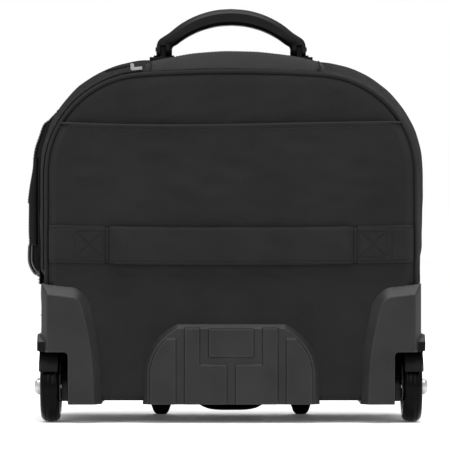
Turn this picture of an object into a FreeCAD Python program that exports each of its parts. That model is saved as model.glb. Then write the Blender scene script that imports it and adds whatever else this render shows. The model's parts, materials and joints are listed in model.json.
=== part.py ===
import FreeCAD, Part
import math
import os
from FreeCAD import Vector

# Rolling laptop case, millimetres, +Z up, resting on z = 0.
# The back, with the wheels, faces -Y; the lid and its pocket face +Y.
# Every piece is drawn about the case's own middle plane and moved sideways
# by MID_X when saved, so that the origin is the middle of the whole outline.

# ---------------------------------------------------------------- driving dimensions
MID_X = 6.7              # case's middle plane, off-centre because of the side handle

# Rounded-top outlines: half width, corner radius, height of corner centre, top height
REAR_ARCH = (208.0, 112.0, 280.4, 396.0)
MIDDLE_ARCH = (219.0, 126.0, 285.0, 413.0)
FRONT_ARCH = (217.0, 124.0, 285.0, 411.0)
BASE_Z = 25.0            # underside of the soft body
CLOTH = 3.0              # padded wall thickness
GAP = 0.4                # air between pieces that move on each other

# Stations along the depth
BACK_Y = -105.0          # outer face of the back panel
BOARD = 5.0              # back panel thickness
GUSSET_Y = BACK_Y + 4.6  # rear edge of the gusset
SECOND_Y = -78.0
FULL_Y = -45.0           # where the gusset reaches its full outline
GUSSET_FRONT_Y = 88.0
LID_Y = 95.6             # rear edge of the lid
LID_FRONT_Y = 108.0
LID_BOTTOM_Z = 61.8
SILL_TOP_Z = 60.8
FRONT_POCKET_HALF = 150.0
FRONT_POCKET_Y = 119.0
FRONT_POCKET_Z = (84.0, 240.0)

POCKET_IN_Y = -110.5     # slip pocket sheet, inner and outer faces
POCKET_OUT_Y = -112.5
POCKET_TOP_Z = 337.0
POCKET_HEM = 8.0

PIPING_R = 2.4

# Wheels
WHEEL_R = 40.0
WHEEL_X = 204.0
WHEEL_Y = -82.0
WHEEL_W = 22.0
TYRE_INNER_R = 29.0
BEARING_R = 11.0
BEARING_W = 7.0
AXLE_R = 4.0
RUNNING = 0.05           # radial clearance of a running fit
SPOKES = 5

# Corner guards: moulded housings that hold the wheels
GUARD_BACK_Y = -123.0
GUARD_TOP_Z = 157.0
GUARD_SIDE = (209.5, 213.5)
GUARD_FRONT_Y = -25.0
FENDER = 4.5             # how far the fender stands out over the wheel
GUARD_WALL = 3.0
WELL_IN_X = 183.5
WELL_ROOF_Z = 88.0
WELL_LIP_Z = 79.6
WELL_FRONT_Y = -38.0
GUARD_BASE_Z = 21.0

# Kick plate
KICK_HALF = 99.6
KICK_TOP_Z = 112.0
KICK_SHOULDER_R = 63.3
KICK_SHOULDER_Z = 53.7
KICK_TOP_HALF = 61.0
KICK_RIM = 6.0           # width of the sloping rim
KICK_PANEL_IN = 8.4      # from the outline to the raised panels
KICK_Y = -118.5
KICK_RAISED_Y = -121.3
KICK_FLANGE_Y = -72.0

# Telescopic handle: outer, middle and inner tubes (width, depth)
TUBE_X = 62.0
TUBE_Y = -79.0
OUTER_TUBE = (28.0, 18.0)
TUBE_WALL = (1.2, 1.0, 1.0)
OUTER_TUBE_Z = (46.0, 384.0)
MIDDLE_TUBE_Z = (52.0, 392.6)
INNER_TUBE_Z = (58.0, 398.6)
STAGE_TRAVEL = 290.0
BEZEL_Z = (378.0, 388.0)
GRIP_Z = 393.4
GRIP_HALF = 82.0
GRIP_DEPTH = 20.0
GRIP_TOP = (404.0, 412.0)     # height at the ends and in the middle
BUTTON_TOP_Z = 413.5
BUTTON_HALF = 19.6
BUTTON_DEPTH = 11.2
BUTTON_TRAVEL = 3.5
YOKE_Z = (402.6, 405.6)
PIN_R = 2.0
PIN_Z = 65.0
PIN_TRAVEL = 2.4

# Raised hood round the telescopic handle's grip
HOOD_X = 4.0             # its middle, beside the case's middle plane
HOOD_HALF = 103.0
HOOD_SLOT = (-94.0, -64.0)
HOOD_SLOT_HALF = 93.0
HOOD_CREST = (405.0, 419.0)
HOOD_FRONT_Y = -60.0
ZIP_TAPE_T = 1.6

# Carry handle
CARRY_Y = -45.0
CARRY_PIVOT_Z = 424.0
CARRY_DEPTH = 26.0
CARRY_TOP_Z = 470.0
CARRY_ARCH_Z = 451.5     # underside of the bow, at its middle
CARRY_EYE_R = 8.5
CARRY_EYE_X = (68.5, 87.0)
CARRY_PIN_R = 2.5
LUG_X = (74.8, 80.7)
LUG_R = 6.5

# Side handle, on the left
SIDE_Y = (-25.0, 5.0)
SIDE_GRIP_X = (-235.5, -222.0)
SIDE_GRIP_Z = (200.0, 300.0)

# Feet: (width, depth, height) from the floor up to the base
FOOT_X = 82.6
FOOT_Y = 78.0
FOOT_SECTIONS = ((12.0, 12.0, 0.0), (17.6, 15.6, 3.0), (24.0, 19.0, 11.5), (30.0, 22.0, BASE_Z))

# Screws up into the base
SCREW_R, SCREW_HEAD_R, SCREW_HEAD_H = 1.5, 3.2, 2.0

# Zip sliders
SLIDER_L, SLIDER_W, SLIDER_H = 12.0, 8.0, 3.5
EAR_R, EAR_T, HINGE_PIN_R = 2.0, 1.4, 0.8
PULLER_L, PULLER_W, PULLER_T = 29.0, 6.0, 2.0
REAR_SLIDER_ANGLE = 5.0  # degrees round the corner from its top
REAR_SLIDER_Y = -93.0
MAIN_SLIDER_Z = 122.0
MAIN_ZIP_Y = 91.7
POCKET_SLIDER_X = 120.0

os.makedirs("parts", exist_ok=True)


# ---------------------------------------------------------------- helpers
def save(name, *solids):
    """Write one node, moved to the common origin."""
    shape = solids[0].removeSplitter() if len(solids) == 1 else Part.makeCompound(list(solids))
    shape = shape.copy()
    shape.translate(Vector(MID_X, 0, 0))
    shape.exportStep(f"parts/{name}.step")
    print(f"{name}: {len(shape.Solids)} solids, {shape.Volume / 1000:.1f} cm3, valid {shape.isValid()}")


def block(x, y, z):
    """Box between two limits along each axis."""
    return Part.makeBox(x[1] - x[0], y[1] - y[0], z[1] - z[0], Vector(x[0], y[0], z[0]))


def rod(x, y, z, radius, length, direction):
    return Part.makeCylinder(radius, length, Vector(x, y, z), Vector(*direction))


def mirrored(shape):
    """The same piece on the other side of the middle plane."""
    return shape.mirror(Vector(0, 0, 0), Vector(1, 0, 0))


def both_sides(shape):
    return [shape, mirrored(shape)]


def fuse(*shapes):
    result = shapes[0]
    for shape in shapes[1:]:
        result = result.fuse(shape)
    return result.removeSplitter()


def cut(shape, *tools):
    for tool in tools:
        shape = shape.cut(tool)
    return shape


def slab(points, axis, limits):
    """Extrude a polygon. axis names the direction; points hold the other two."""
    places = {"x": lambda a, b: Vector(limits[0], a, b),
              "y": lambda a, b: Vector(a, limits[0], b),
              "z": lambda a, b: Vector(a, b, limits[0])}[axis]
    length = limits[1] - limits[0]
    sweep = {"x": Vector(length, 0, 0), "y": Vector(0, length, 0), "z": Vector(0, 0, length)}[axis]
    loop = [places(*point) for point in points]
    return Part.Face(Part.makePolygon(loop + loop[:1])).extrude(sweep)


def offset_arch(arch, distance):
    half, radius, corner_z, top = arch
    return half + distance, radius + distance, corner_z, top + distance


def arch_edges(arch, y, bottom_z):
    """Edges from the bottom left, over the top, to the bottom right."""
    half, radius, corner_z, top = arch
    corner_x = half - radius
    reach = top - radius
    crown_z = (reach + corner_z - corner_x ** 2 / (reach - corner_z)) / 2
    crown_r = top - crown_z
    lean = math.atan2(corner_x, corner_z - crown_z)
    join = (crown_r * math.sin(lean), crown_z + crown_r * math.cos(lean))
    turn = (math.pi / 2 - lean) / 2
    middle = (corner_x + radius * math.cos(turn), corner_z + radius * math.sin(turn))

    def at(x, z):
        return Vector(x, y, z)

    return [
        Part.LineSegment(at(-half, bottom_z), at(-half, corner_z)).toShape(),
        Part.Arc(at(-half, corner_z), at(-middle[0], middle[1]), at(-join[0], join[1])).toShape(),
        Part.Arc(at(-join[0], join[1]), at(0, top), at(join[0], join[1])).toShape(),
        Part.Arc(at(join[0], join[1]), at(middle[0], middle[1]), at(half, corner_z)).toShape(),
        Part.LineSegment(at(half, corner_z), at(half, bottom_z)).toShape(),
    ]


def arch_wire(arch, y, bottom_z=BASE_Z):
    half = arch[0]
    floor = Part.LineSegment(Vector(half, y, bottom_z), Vector(-half, y, bottom_z)).toShape()
    return Part.Wire(arch_edges(arch, y, bottom_z) + [floor])


def arch_loft(stations, bottom_z=BASE_Z):
    """Solid through (arch, y) stations."""
    return Part.makeLoft([arch_wire(arch, y, bottom_z) for arch, y in stations], True, True)


def gusset_stations(distance):
    """The soft body's outline along its depth, moved out by a distance."""
    return [(offset_arch(REAR_ARCH, 1.0 + distance), GUSSET_Y),
            (offset_arch(REAR_ARCH, 6.0 + distance), SECOND_Y),
            (offset_arch(MIDDLE_ARCH, distance), FULL_Y),
            (offset_arch(MIDDLE_ARCH, distance), 40.0),
            (offset_arch(FRONT_ARCH, distance), GUSSET_FRONT_Y)]


def rounded_rectangle(width, depth, radius, z, centre):
    """Wire of a rectangle with round corners, seen from above."""
    plate = block((centre[0] - width / 2, centre[0] + width / 2),
                  (centre[1] - depth / 2, centre[1] + depth / 2), (z, z + 1))
    corners = [edge for edge in plate.Edges
               if abs(edge.Vertexes[0].Point.z - edge.Vertexes[1].Point.z) > 0.5]
    plate = plate.makeFillet(radius, corners)
    return min(plate.Faces, key=lambda face: face.CenterOfMass.z).OuterWire


def tube_bar(size, radius, z, x):
    """Solid of a tube's outline between two heights."""
    wire = rounded_rectangle(size[0], size[1], radius, z[0], (x, TUBE_Y))
    return Part.Face(wire).extrude(Vector(0, 0, z[1] - z[0]))


def smaller(size, amount):
    return size[0] - 2 * amount, size[1] - 2 * amount


def turned(profile_points):
    """Ring about the left wheel's axle from (distance along X, radius) points."""
    loop = [Vector(x, WHEEL_Y, WHEEL_R + radius) for x, radius in profile_points]
    face = Part.Face(Part.makePolygon(loop + loop[:1]))
    return face.revolve(Vector(0, WHEEL_Y, WHEEL_R), Vector(1, 0, 0), 360)


def screw_hole(x, y, head_z, top_z):
    """Space for a screw driven up into the base: head recess and shank."""
    recess = rod(x, y, head_z - 30, SCREW_HEAD_R + 0.2, 30.2 + SCREW_HEAD_H, (0, 0, 1))
    return fuse(recess, rod(x, y, head_z, SCREW_R + 0.1, top_z - head_z, (0, 0, 1)))


def screw(x, y, head_z, top_z):
    head = rod(x, y, head_z, SCREW_HEAD_R, SCREW_HEAD_H, (0, 0, 1))
    neck_z = head_z + SCREW_HEAD_H
    return fuse(head, rod(x, y, neck_z, SCREW_R, top_z - neck_z, (0, 0, 1)))


# ---------------------------------------------------------------- zones shared by several pieces
gusset_outer = arch_loft(gusset_stations(0.0))
BEYOND = 260.0           # further out than any piece
well_zone = both_sides(block((WELL_IN_X - GUARD_WALL, BEYOND), (-BEYOND, WELL_FRONT_Y + GUARD_WALL),
                             (0, WELL_ROOF_Z + GUARD_WALL)))
guard_side_zone = both_sides(block((196, BEYOND), (-BEYOND, GUARD_FRONT_Y), (0, GUARD_TOP_Z)))

KICK_SCREWS = [(x, -82.0) for x in (-78.0, -26.0, 26.0, 78.0)]
GUARD_SCREWS = [(side * 164.0, y) for side in (-1, 1) for y in (-92.0, -50.0)]
FOOT_SCREWS = [(side * FOOT_X, FOOT_Y) for side in (-1, 1)]
FLANGE_HEAD_Z = 21.2
FOOT_HEAD_Z = 8.0
BOARD_TOP_Z = BASE_Z + 4.0


# ---------------------------------------------------------------- soft body and its boards
def make_soft_body():
    back = arch_loft([(offset_arch(REAR_ARCH, -2.6), BACK_Y), (offset_arch(REAR_ARCH, -2.6), BACK_Y + BOARD)])
    save("back_panel", cut(back, *well_zone))

    inner = arch_loft(gusset_stations(-CLOTH), BASE_Z - 10)
    slot = block((HOOD_X - HOOD_SLOT_HALF - 4, HOOD_X + HOOD_SLOT_HALF + 4), HOOD_SLOT, (370, 440))
    save("main_gusset", cut(gusset_outer, inner, slot, *well_zone, *guard_side_zone))

    board_half = GUARD_SIDE[0] - GAP
    board = block((-board_half, board_half), (GUSSET_Y + 0.6, GUSSET_FRONT_Y - 0.3), (BASE_Z, BOARD_TOP_Z))
    board = board.common(arch_loft(gusset_stations(-CLOTH - 0.3)))
    holes = [screw_hole(x, y, FLANGE_HEAD_Z, 40) for x, y in KICK_SCREWS + GUARD_SCREWS]
    holes += [screw_hole(x, y, BASE_Z - 10, 40).common(block((-200, 200), (0, 90), (BASE_Z - 4, 40)))
              for x, y in FOOT_SCREWS]
    save("base_board", cut(board, *well_zone, *holes))

    path = Part.Wire(arch_edges(REAR_ARCH, BACK_Y + 2.0, GUARD_TOP_Z + 0.5))
    start = Vector(-REAR_ARCH[0], BACK_Y + 2.0, GUARD_TOP_Z + 0.5)
    ring = Part.Wire(Part.makeCircle(PIPING_R, start, Vector(0, 0, 1)))
    save("rear_piping", Part.Solid(path.makePipeShell([ring], True, True)))

    sill = block((-216.5, 216.5), (GUSSET_FRONT_Y + 0.3, LID_FRONT_Y - 0.5), (BASE_Z, SILL_TOP_Z))
    upright = [edge for edge in sill.Edges
               if abs(edge.Vertexes[0].Point.z - edge.Vertexes[1].Point.z) > 20
               and edge.Vertexes[0].Point.y > LID_FRONT_Y - 1]
    save("front_sill", sill.makeFillet(14.0, upright))


def make_back_details():
    outer = arch_loft([(offset_arch(REAR_ARCH, -6.0), POCKET_OUT_Y), (offset_arch(REAR_ARCH, -6.0), BACK_Y)])
    inner = arch_loft([(offset_arch(REAR_ARCH, -6.0 - POCKET_HEM), POCKET_IN_Y),
                       (offset_arch(REAR_ARCH, -6.0 - POCKET_HEM), BACK_Y)], BASE_Z + POCKET_HEM)
    above = block((-260, 260), (-140, 0), (POCKET_TOP_Z, 440))
    save("back_slip_pocket", cut(outer, inner, above, *well_zone))

    lift = 4.8
    face = POCKET_OUT_Y
    outside = [(-202, face - 2), (-141, face - 2), (-122, face - lift - 2),
               (122, face - lift - 2), (141, face - 2), (202, face - 2)]
    inside = [(202, face), (141, face), (122, face - lift), (-122, face - lift), (-141, face), (-202, face)]
    save("back_strap", slab(outside + inside, "z", (181, 222)))


def make_interior():
    stations = [(offset_arch(REAR_ARCH, -1.0), TUBE_Y + 11.0), (offset_arch(REAR_ARCH, -1.0), TUBE_Y + 13.0)]
    cover = arch_loft(stations, BOARD_TOP_Z)
    above = block((-260, 260), (-140, 0), (BEZEL_Z[0] - 1, 440))
    save("trolley_cover_panel", cut(cover, above, *well_zone))

    sleeve = block((-196, 196), (TUBE_Y + 13.0, TUBE_Y + 49.0), (BOARD_TOP_Z, 300))
    hollow = block((-193, 193), (TUBE_Y + 13.0, TUBE_Y + 46.0), (BOARD_TOP_Z + 12, 310))
    save("laptop_sleeve", cut(sleeve, hollow, *well_zone))

    save("file_divider", block((-196, 196), (22, 24.4), (BOARD_TOP_Z, 285)))


# ---------------------------------------------------------------- plastic mouldings
def outline_wire(y, start, *steps):
    """Closed wire in the plane of the back: a step of one point is a line, of two an arc."""
    def at(point):
        return Vector(point[0], y, point[1])

    edges, here = [], start
    if steps[-1][-1] != start:
        steps += ((start,),)
    for step in steps:
        if len(step) == 2 and isinstance(step[0], tuple):
            edges.append(Part.Arc(at(here), at(step[0]), at(step[1])).toShape())
        else:
            edges.append(Part.LineSegment(at(here), at(step[0])).toShape())
        here = step[-1]
    return Part.Wire(edges)


def make_corner_guards():
    side_x = GUARD_SIDE[1]
    rim = outline_wire(POCKET_OUT_Y, (side_x, 157.5), ((176.5, 153.5),), ((162.5, 143.0), (155.5, 126.0)),
                       ((148.0, 82.0), (144.8, 39.0)), ((145.0, GUARD_BASE_Z),), ((side_x, GUARD_BASE_Z),))
    raised = outline_wire(GUARD_BACK_Y, (206.5, 144.3), ((179.0, 140.8),), ((171.8, 137.4), (168.2, 131.0)),
                          ((158.9, 89.0), (155.2, 51.0)), ((154.0, GUARD_BASE_Z),), ((206.5, GUARD_BASE_Z),))
    face_plate = Part.makeLoft([rim, raised], True, True)

    side = [(POCKET_OUT_Y, GUARD_BASE_Z), (POCKET_OUT_Y, GUARD_TOP_Z), (GUARD_FRONT_Y - 22, GUARD_TOP_Z),
            (GUARD_FRONT_Y, 128), (GUARD_FRONT_Y, GUARD_BASE_Z)]
    side_plate = slab(side, "x", GUARD_SIDE)
    lip, brow = WELL_LIP_Z + 1.4, WELL_LIP_Z + 20.4
    fender = [(GUARD_BACK_Y + 4, lip), (GUARD_BACK_Y + 4, brow - 9), (GUARD_BACK_Y + 13, brow),
              (WELL_FRONT_Y - 6, brow), (WELL_FRONT_Y, brow - 6), (WELL_FRONT_Y, lip)]
    fender = slab(fender, "x", (GUARD_SIDE[0], side_x + FENDER))
    liner = block((WELL_IN_X - GUARD_WALL, side_x), (POCKET_OUT_Y, WELL_FRONT_Y + GUARD_WALL),
                  (GUARD_BASE_Z, WELL_ROOF_Z + GUARD_WALL))
    flange = block((145, WELL_IN_X), (POCKET_OUT_Y, WELL_FRONT_Y + GUARD_WALL), (GUARD_BASE_Z, BASE_Z))
    well = block((WELL_IN_X, BEYOND), (POCKET_OUT_Y, WELL_FRONT_Y), (0, WELL_ROOF_Z))
    side_gap = block((GUARD_SIDE[0] - 5, BEYOND), (-BEYOND, WELL_FRONT_Y), (0, lip))
    mouth = block((WELL_IN_X, BEYOND), (-BEYOND, POCKET_OUT_Y + 1), (0, WELL_LIP_Z))
    corner = [edge for edge in mouth.Edges
              if edge.BoundBox.YLength > 1 and edge.BoundBox.XMax < 200 and edge.BoundBox.ZMin > 10]
    mouth = mouth.makeFillet(4.0, corner)

    # Inner bearer of the axle, with a leg down to the base
    bearer_r, bearer_w = 11.0, 8.4
    leg = block((WELL_IN_X, WELL_IN_X + bearer_w), (WHEEL_Y - bearer_r, WHEEL_Y + bearer_r),
                (GUARD_BASE_Z + 2.5, WHEEL_R))
    boss = fuse(rod(WELL_IN_X, WHEEL_Y, WHEEL_R, bearer_r, bearer_w, (1, 0, 0)), leg)
    bore = rod(150, WHEEL_Y, WHEEL_R, AXLE_R + 0.02, 60, (1, 0, 0))

    # Fin that arches over the tyre, with a skirt on its outer side
    fin_x, fin_w, fin_r = WHEEL_X - 9.5, 21.5, WHEEL_R + 2.5
    under = rod(fin_x - 1, WHEEL_Y, WHEEL_R, fin_r, fin_w + 2, (1, 0, 0))
    arch = cut(rod(fin_x, WHEEL_Y, WHEEL_R, fin_r + 3, fin_w, (1, 0, 0)), under)
    fin = arch.common(block((fin_x, BEYOND), (-BEYOND, WELL_FRONT_Y - 7), (WHEEL_R + 18, BEYOND)))
    stem = block((fin_x, WHEEL_X + 9), (WHEEL_Y - 4, WHEEL_Y + 4), (2 * WHEEL_R, WELL_ROOF_Z + 1))
    stem = cut(stem, under)

    walls = cut(fuse(side_plate, liner), well, side_gap)
    guard = fuse(walls, cut(face_plate, mouth), fender, flange, boss, fin, stem)
    holes = [screw_hole(x, y, FLANGE_HEAD_Z, 40) for x, y in GUARD_SCREWS if x > 0]
    guard = cut(guard, bore, *holes)
    save("corner_guard_right", guard)
    save("corner_guard_left", mirrored(guard))


def kick_point(inset, angle):
    """Point on the plate's round shoulder, moved in by a distance."""
    radius = KICK_SHOULDER_R - inset
    centre_x = KICK_HALF - KICK_SHOULDER_R
    return centre_x + radius * math.cos(angle), KICK_SHOULDER_Z + radius * math.sin(angle)


def kick_outline(inset, y):
    lean = math.atan2(KICK_TOP_Z - KICK_SHOULDER_Z, KICK_TOP_HALF - KICK_HALF + KICK_SHOULDER_R)
    start, middle = kick_point(inset, 0), kick_point(inset, lean / 2)
    radius = KICK_SHOULDER_R - inset
    top = KICK_TOP_Z - inset
    end_x = KICK_HALF - KICK_SHOULDER_R + math.sqrt(radius ** 2 - (top - KICK_SHOULDER_Z) ** 2)
    return outline_wire(y, (-start[0], GUARD_BASE_Z), ((-start[0], start[1]),),
                        ((-middle[0], middle[1]), (-end_x, top)), ((end_x, top),),
                        (middle, start), ((start[0], GUARD_BASE_Z),))


def make_kick_plate():
    plate = Part.makeLoft([kick_outline(0.0, POCKET_OUT_Y), kick_outline(KICK_RIM, KICK_Y)], True, True)
    flange = block((-KICK_HALF, KICK_HALF), (POCKET_OUT_Y, KICK_FLANGE_Y), (GUARD_BASE_Z, BASE_Z))
    depth = Vector(0, KICK_Y - KICK_RAISED_Y, 0)
    low = GUARD_BASE_Z
    outer_x, outer_z = kick_point(KICK_PANEL_IN, 0)
    radius = KICK_SHOULDER_R - KICK_PANEL_IN
    panel_top = 94.9
    rise = math.asin((panel_top - KICK_SHOULDER_Z) / radius)
    panels = []
    for side in (-1, 1):
        def on(point, side=side):
            return side * point[0], point[1]

        end, middle = kick_point(KICK_PANEL_IN, rise), kick_point(KICK_PANEL_IN, rise / 2)
        panels.append(outline_wire(KICK_RAISED_Y, on((62, low)), (on((62, panel_top)),), (on(end),),
                                   (on(middle), on((outer_x, outer_z))), (on((outer_x, low)),)))
        # Boot-shaped panel beside the middle groove
        boot = [on(point) for point in ((5, 65.5), (35.5, 65.5), (35.5, 106.8), (52.3, 106.8), (52.3, low))]
        panels.append(outline_wire(KICK_RAISED_Y, on((5, low)), *[(point,) for point in boot]))
    half, plaque_low, plaque_top = 25.3, 74.0, 105.8
    panels.append(outline_wire(KICK_RAISED_Y, (-half, plaque_low), ((-half, plaque_top),),
                               ((half, plaque_top),), ((half, plaque_low),)))
    plate = fuse(plate, flange, *[Part.Face(panel).extrude(depth) for panel in panels])
    save("kick_plate", cut(plate, *[screw_hole(x, y, FLANGE_HEAD_Z, 40) for x, y in KICK_SCREWS]))


def make_base_pieces():
    for side, name in ((-1, "left"), (1, "right")):
        wires = [rounded_rectangle(width, depth, 5.0, z, (side * FOOT_X, FOOT_Y))
                 for width, depth, z in FOOT_SECTIONS]
        foot = Part.makeLoft(wires, True, True)
        foot = cut(foot, rod(side * FOOT_X, FOOT_Y, -1, 3.6, FOOT_HEAD_Z + 3.1, (0, 0, 1)),
                   rod(side * FOOT_X, FOOT_Y, 5, 1.6, 40, (0, 0, 1)))
        save(f"foot_{name}", foot)
    places = [(x, y, FLANGE_HEAD_Z) for x, y in KICK_SCREWS + GUARD_SCREWS]
    places += [(x, y, FOOT_HEAD_Z) for x, y in FOOT_SCREWS]
    save("base_screws", *[screw(x, y, head_z, BOARD_TOP_Z - 0.5) for x, y, head_z in places])

    grab = outline_wire(36, (-48, BASE_Z), ((-29, 10.6), (0, 7.6)), ((29, 10.6), (48, BASE_Z)),
                        ((40, BASE_Z),), ((26, 14.2), (0, 11.6)), ((-26, 14.2), (-40, BASE_Z)))
    save("bottom_grab_handle", Part.Face(grab).extrude(Vector(0, 24, 0)))


# ---------------------------------------------------------------- wheels
def make_wheels():
    near, far = WHEEL_X - WHEEL_W / 2, WHEEL_X + WHEEL_W / 2
    tread = [(1, TYRE_INNER_R), (0, WHEEL_R - 7), (1.5, WHEEL_R - 3.5), (5, WHEEL_R - 0.8), (9, WHEEL_R)]
    tyre = turned([(near + a, r) for a, r in tread] + [(far - a, r) for a, r in tread[::-1]])
    rim = turned([(near + 1, 25.5), (near + 1, TYRE_INNER_R), (far - 1, TYRE_INNER_R), (far - 1, 25.5)])
    boss = turned([(near, 8.0), (near, 14.5), (far, 14.5), (far, 8.0)])
    hub = fuse(rim, boss)
    for index in range(SPOKES):
        spoke = block((WHEEL_X - 6, WHEEL_X + 6), (WHEEL_Y - 3.5, WHEEL_Y + 3.5),
                      (WHEEL_R + 13, WHEEL_R + TYRE_INNER_R - 2))
        spoke.rotate(Vector(0, WHEEL_Y, WHEEL_R), Vector(1, 0, 0), index * 360 / SPOKES)
        hub = hub.fuse(spoke)
    seats = [rod(x, WHEEL_Y, WHEEL_R, BEARING_R + RUNNING, BEARING_W + 1, (1, 0, 0))
             for x in (near - 1, far - BEARING_W)]
    hub = cut(hub.removeSplitter(), *seats)

    bore = AXLE_R + RUNNING
    bearings = [turned([(x, bore), (x, BEARING_R), (x + BEARING_W, BEARING_R), (x + BEARING_W, bore)])
                for x in (near, far - BEARING_W)]
    spacer = turned([(near + BEARING_W, bore), (near + BEARING_W, 6.0),
                     (far - BEARING_W, 6.0), (far - BEARING_W, bore)])

    shank = rod(172.0, WHEEL_Y, WHEEL_R, AXLE_R, 46, (1, 0, 0))
    head = turned([(far + 0.6, 0.0), (far + 0.6, 9.5), (far + 4.0, 9.5), (far + 7.4, 6.0), (far + 7.4, 0.0)])
    axle = fuse(shank, head)
    nut = rod(173.4, WHEEL_Y, WHEEL_R, 7.0, WELL_IN_X - GUARD_WALL - 173.4, (1, 0, 0))
    nut = cut(nut, rod(170, WHEEL_Y, WHEEL_R, AXLE_R + 0.02, 20, (1, 0, 0)))
    pieces = {"tyre": [tyre], "wheel_hub": [hub], "wheel_bearings": bearings + [spacer], "axle": [axle]}
    for name, solids in pieces.items():
        save(f"{name}_right", *solids)
        save(f"{name}_left", *[mirrored(solid) for solid in solids])
    save("axle_nuts", *both_sides(nut))


# ---------------------------------------------------------------- telescopic handle
def make_trolley():
    middle_size = smaller(OUTER_TUBE, TUBE_WALL[0] + GAP)
    inner_size = smaller(middle_size, TUBE_WALL[1] + GAP)
    bore_size = smaller(inner_size, TUBE_WALL[2])
    sockets, passages = [], []
    for side, name in ((-1, "left"), (1, "right")):
        x = side * TUBE_X
        outer = cut(tube_bar(OUTER_TUBE, 6.0, OUTER_TUBE_Z, x),
                    tube_bar(smaller(OUTER_TUBE, TUBE_WALL[0]), 5.0, (40, 400), x))
        pin_window = rod(x, TUBE_Y + 4, PIN_Z + STAGE_TRAVEL, PIN_R + 0.4, 5, (0, 1, 0))
        middle = cut(tube_bar(middle_size, 4.6, MIDDLE_TUBE_Z, x),
                     tube_bar(smaller(middle_size, TUBE_WALL[1]), 3.7, (40, 400), x), pin_window)
        inner = cut(tube_bar(inner_size, 3.3, INNER_TUBE_Z, x), tube_bar(bore_size, 2.4, (40, 400), x),
                    rod(x, TUBE_Y + 3, PIN_Z, PIN_R + 0.1, 6, (0, 1, 0)))
        save(f"trolley_outer_tube_{name}", outer)
        save(f"trolley_middle_tube_{name}", middle)
        save(f"trolley_inner_tube_{name}", inner)
        sockets.append(tube_bar(OUTER_TUBE, 6.0, (OUTER_TUBE_Z[0], OUTER_TUBE_Z[1]), x))
        passages.append(tube_bar(smaller(middle_size, -GAP), 5.0, (OUTER_TUBE_Z[0], 400), x))

    bracket = block((-82, 82), (BACK_Y + BOARD, TUBE_Y + 11.0), (BOARD_TOP_Z, 64))
    save("trolley_bottom_bracket", cut(bracket, *sockets))
    bezel = block((HOOD_X - HOOD_SLOT_HALF, HOOD_X + HOOD_SLOT_HALF), (HOOD_SLOT[0], HOOD_SLOT[1]), BEZEL_Z)
    save("trolley_top_bezel", cut(bezel, *sockets, *passages))

    collars = [cut(tube_bar((30.0, 19.0), 6.0, (BEZEL_Z[1] + GAP, MIDDLE_TUBE_Z[1] + 0.4), x),
                   tube_bar(middle_size, 4.6, (380, 400), x)) for x in (-TUBE_X, TUBE_X)]
    save("trolley_middle_collars", *collars)

    y = (TUBE_Y - GRIP_DEPTH / 2, TUBE_Y + GRIP_DEPTH / 2)
    ends, crest = GRIP_TOP
    outline = outline_wire(y[0], (-GRIP_HALF, ends), ((-GRIP_HALF, GRIP_Z),), ((GRIP_HALF, GRIP_Z),),
                           ((GRIP_HALF, ends),), ((0, crest), (-GRIP_HALF, ends)))
    grip = Part.Face(outline).extrude(Vector(0, GRIP_DEPTH, 0))
    channel = block((-67, 67), (TUBE_Y - 4, TUBE_Y + 4), (INNER_TUBE_Z[1], YOKE_Z[1] + 0.6))
    pocket = block((-BUTTON_HALF - GAP, BUTTON_HALF + GAP),
                   (TUBE_Y - BUTTON_DEPTH / 2 - GAP, TUBE_Y + BUTTON_DEPTH / 2 + GAP),
                   (YOKE_Z[1] - BUTTON_TRAVEL, 430))
    tube_sockets = [tube_bar(inner_size, 3.3, (380, INNER_TUBE_Z[1]), x) for x in (-TUBE_X, TUBE_X)]
    save("trolley_grip", cut(grip, channel, pocket, *tube_sockets))

    plugs, pins = [], []
    for x in (-TUBE_X, TUBE_X):
        plug = tube_bar(bore_size, 2.4, (INNER_TUBE_Z[0], INNER_TUBE_Z[0] + 12), x)
        plugs.append(cut(plug, rod(x, TUBE_Y - 4, PIN_Z, PIN_R + RUNNING, 20, (0, 1, 0))))
        pins.append(rod(x, TUBE_Y - 1.2, PIN_Z, PIN_R, 7.2, (0, 1, 0)))
    save("trolley_tube_plugs", *plugs)
    save("lock_pins", *pins)

    button_y = (TUBE_Y - BUTTON_DEPTH / 2, TUBE_Y + BUTTON_DEPTH / 2)
    save("release_button", block((-BUTTON_HALF, BUTTON_HALF), button_y, (YOKE_Z[1], BUTTON_TOP_Z)))
    bar = block((-65.5, 65.5), (TUBE_Y - 3, TUBE_Y + 3), YOKE_Z)
    legs = [rod(x, TUBE_Y, INNER_TUBE_Z[0] + 16.5, 2.5, YOKE_Z[0] - INNER_TUBE_Z[0] - 16.0, (0, 0, 1))
            for x in (-TUBE_X, TUBE_X)]
    save("push_rod_yoke", fuse(bar, *legs))


# ---------------------------------------------------------------- hood and handles
def crest_arc_slab(y, thickness, half, lower):
    """Strip under the hood's crest line, following its arch."""
    ends, crest = HOOD_CREST
    end_z = crest - (crest - ends) * (half / HOOD_HALF) ** 2

    def at(side, z):
        return Vector(HOOD_X + side * half, y[0], z - lower)

    edges = [Part.Arc(at(-1, end_z), at(0, crest), at(1, end_z)).toShape(),
             Part.LineSegment(at(1, end_z), at(1, end_z - thickness)).toShape(),
             Part.Arc(at(1, end_z - thickness), at(0, crest - thickness),
                      at(-1, end_z - thickness)).toShape(),
             Part.LineSegment(at(-1, end_z - thickness), at(-1, end_z)).toShape()]
    return Part.Face(Part.Wire(edges)).extrude(Vector(0, y[1] - y[0], 0))


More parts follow.
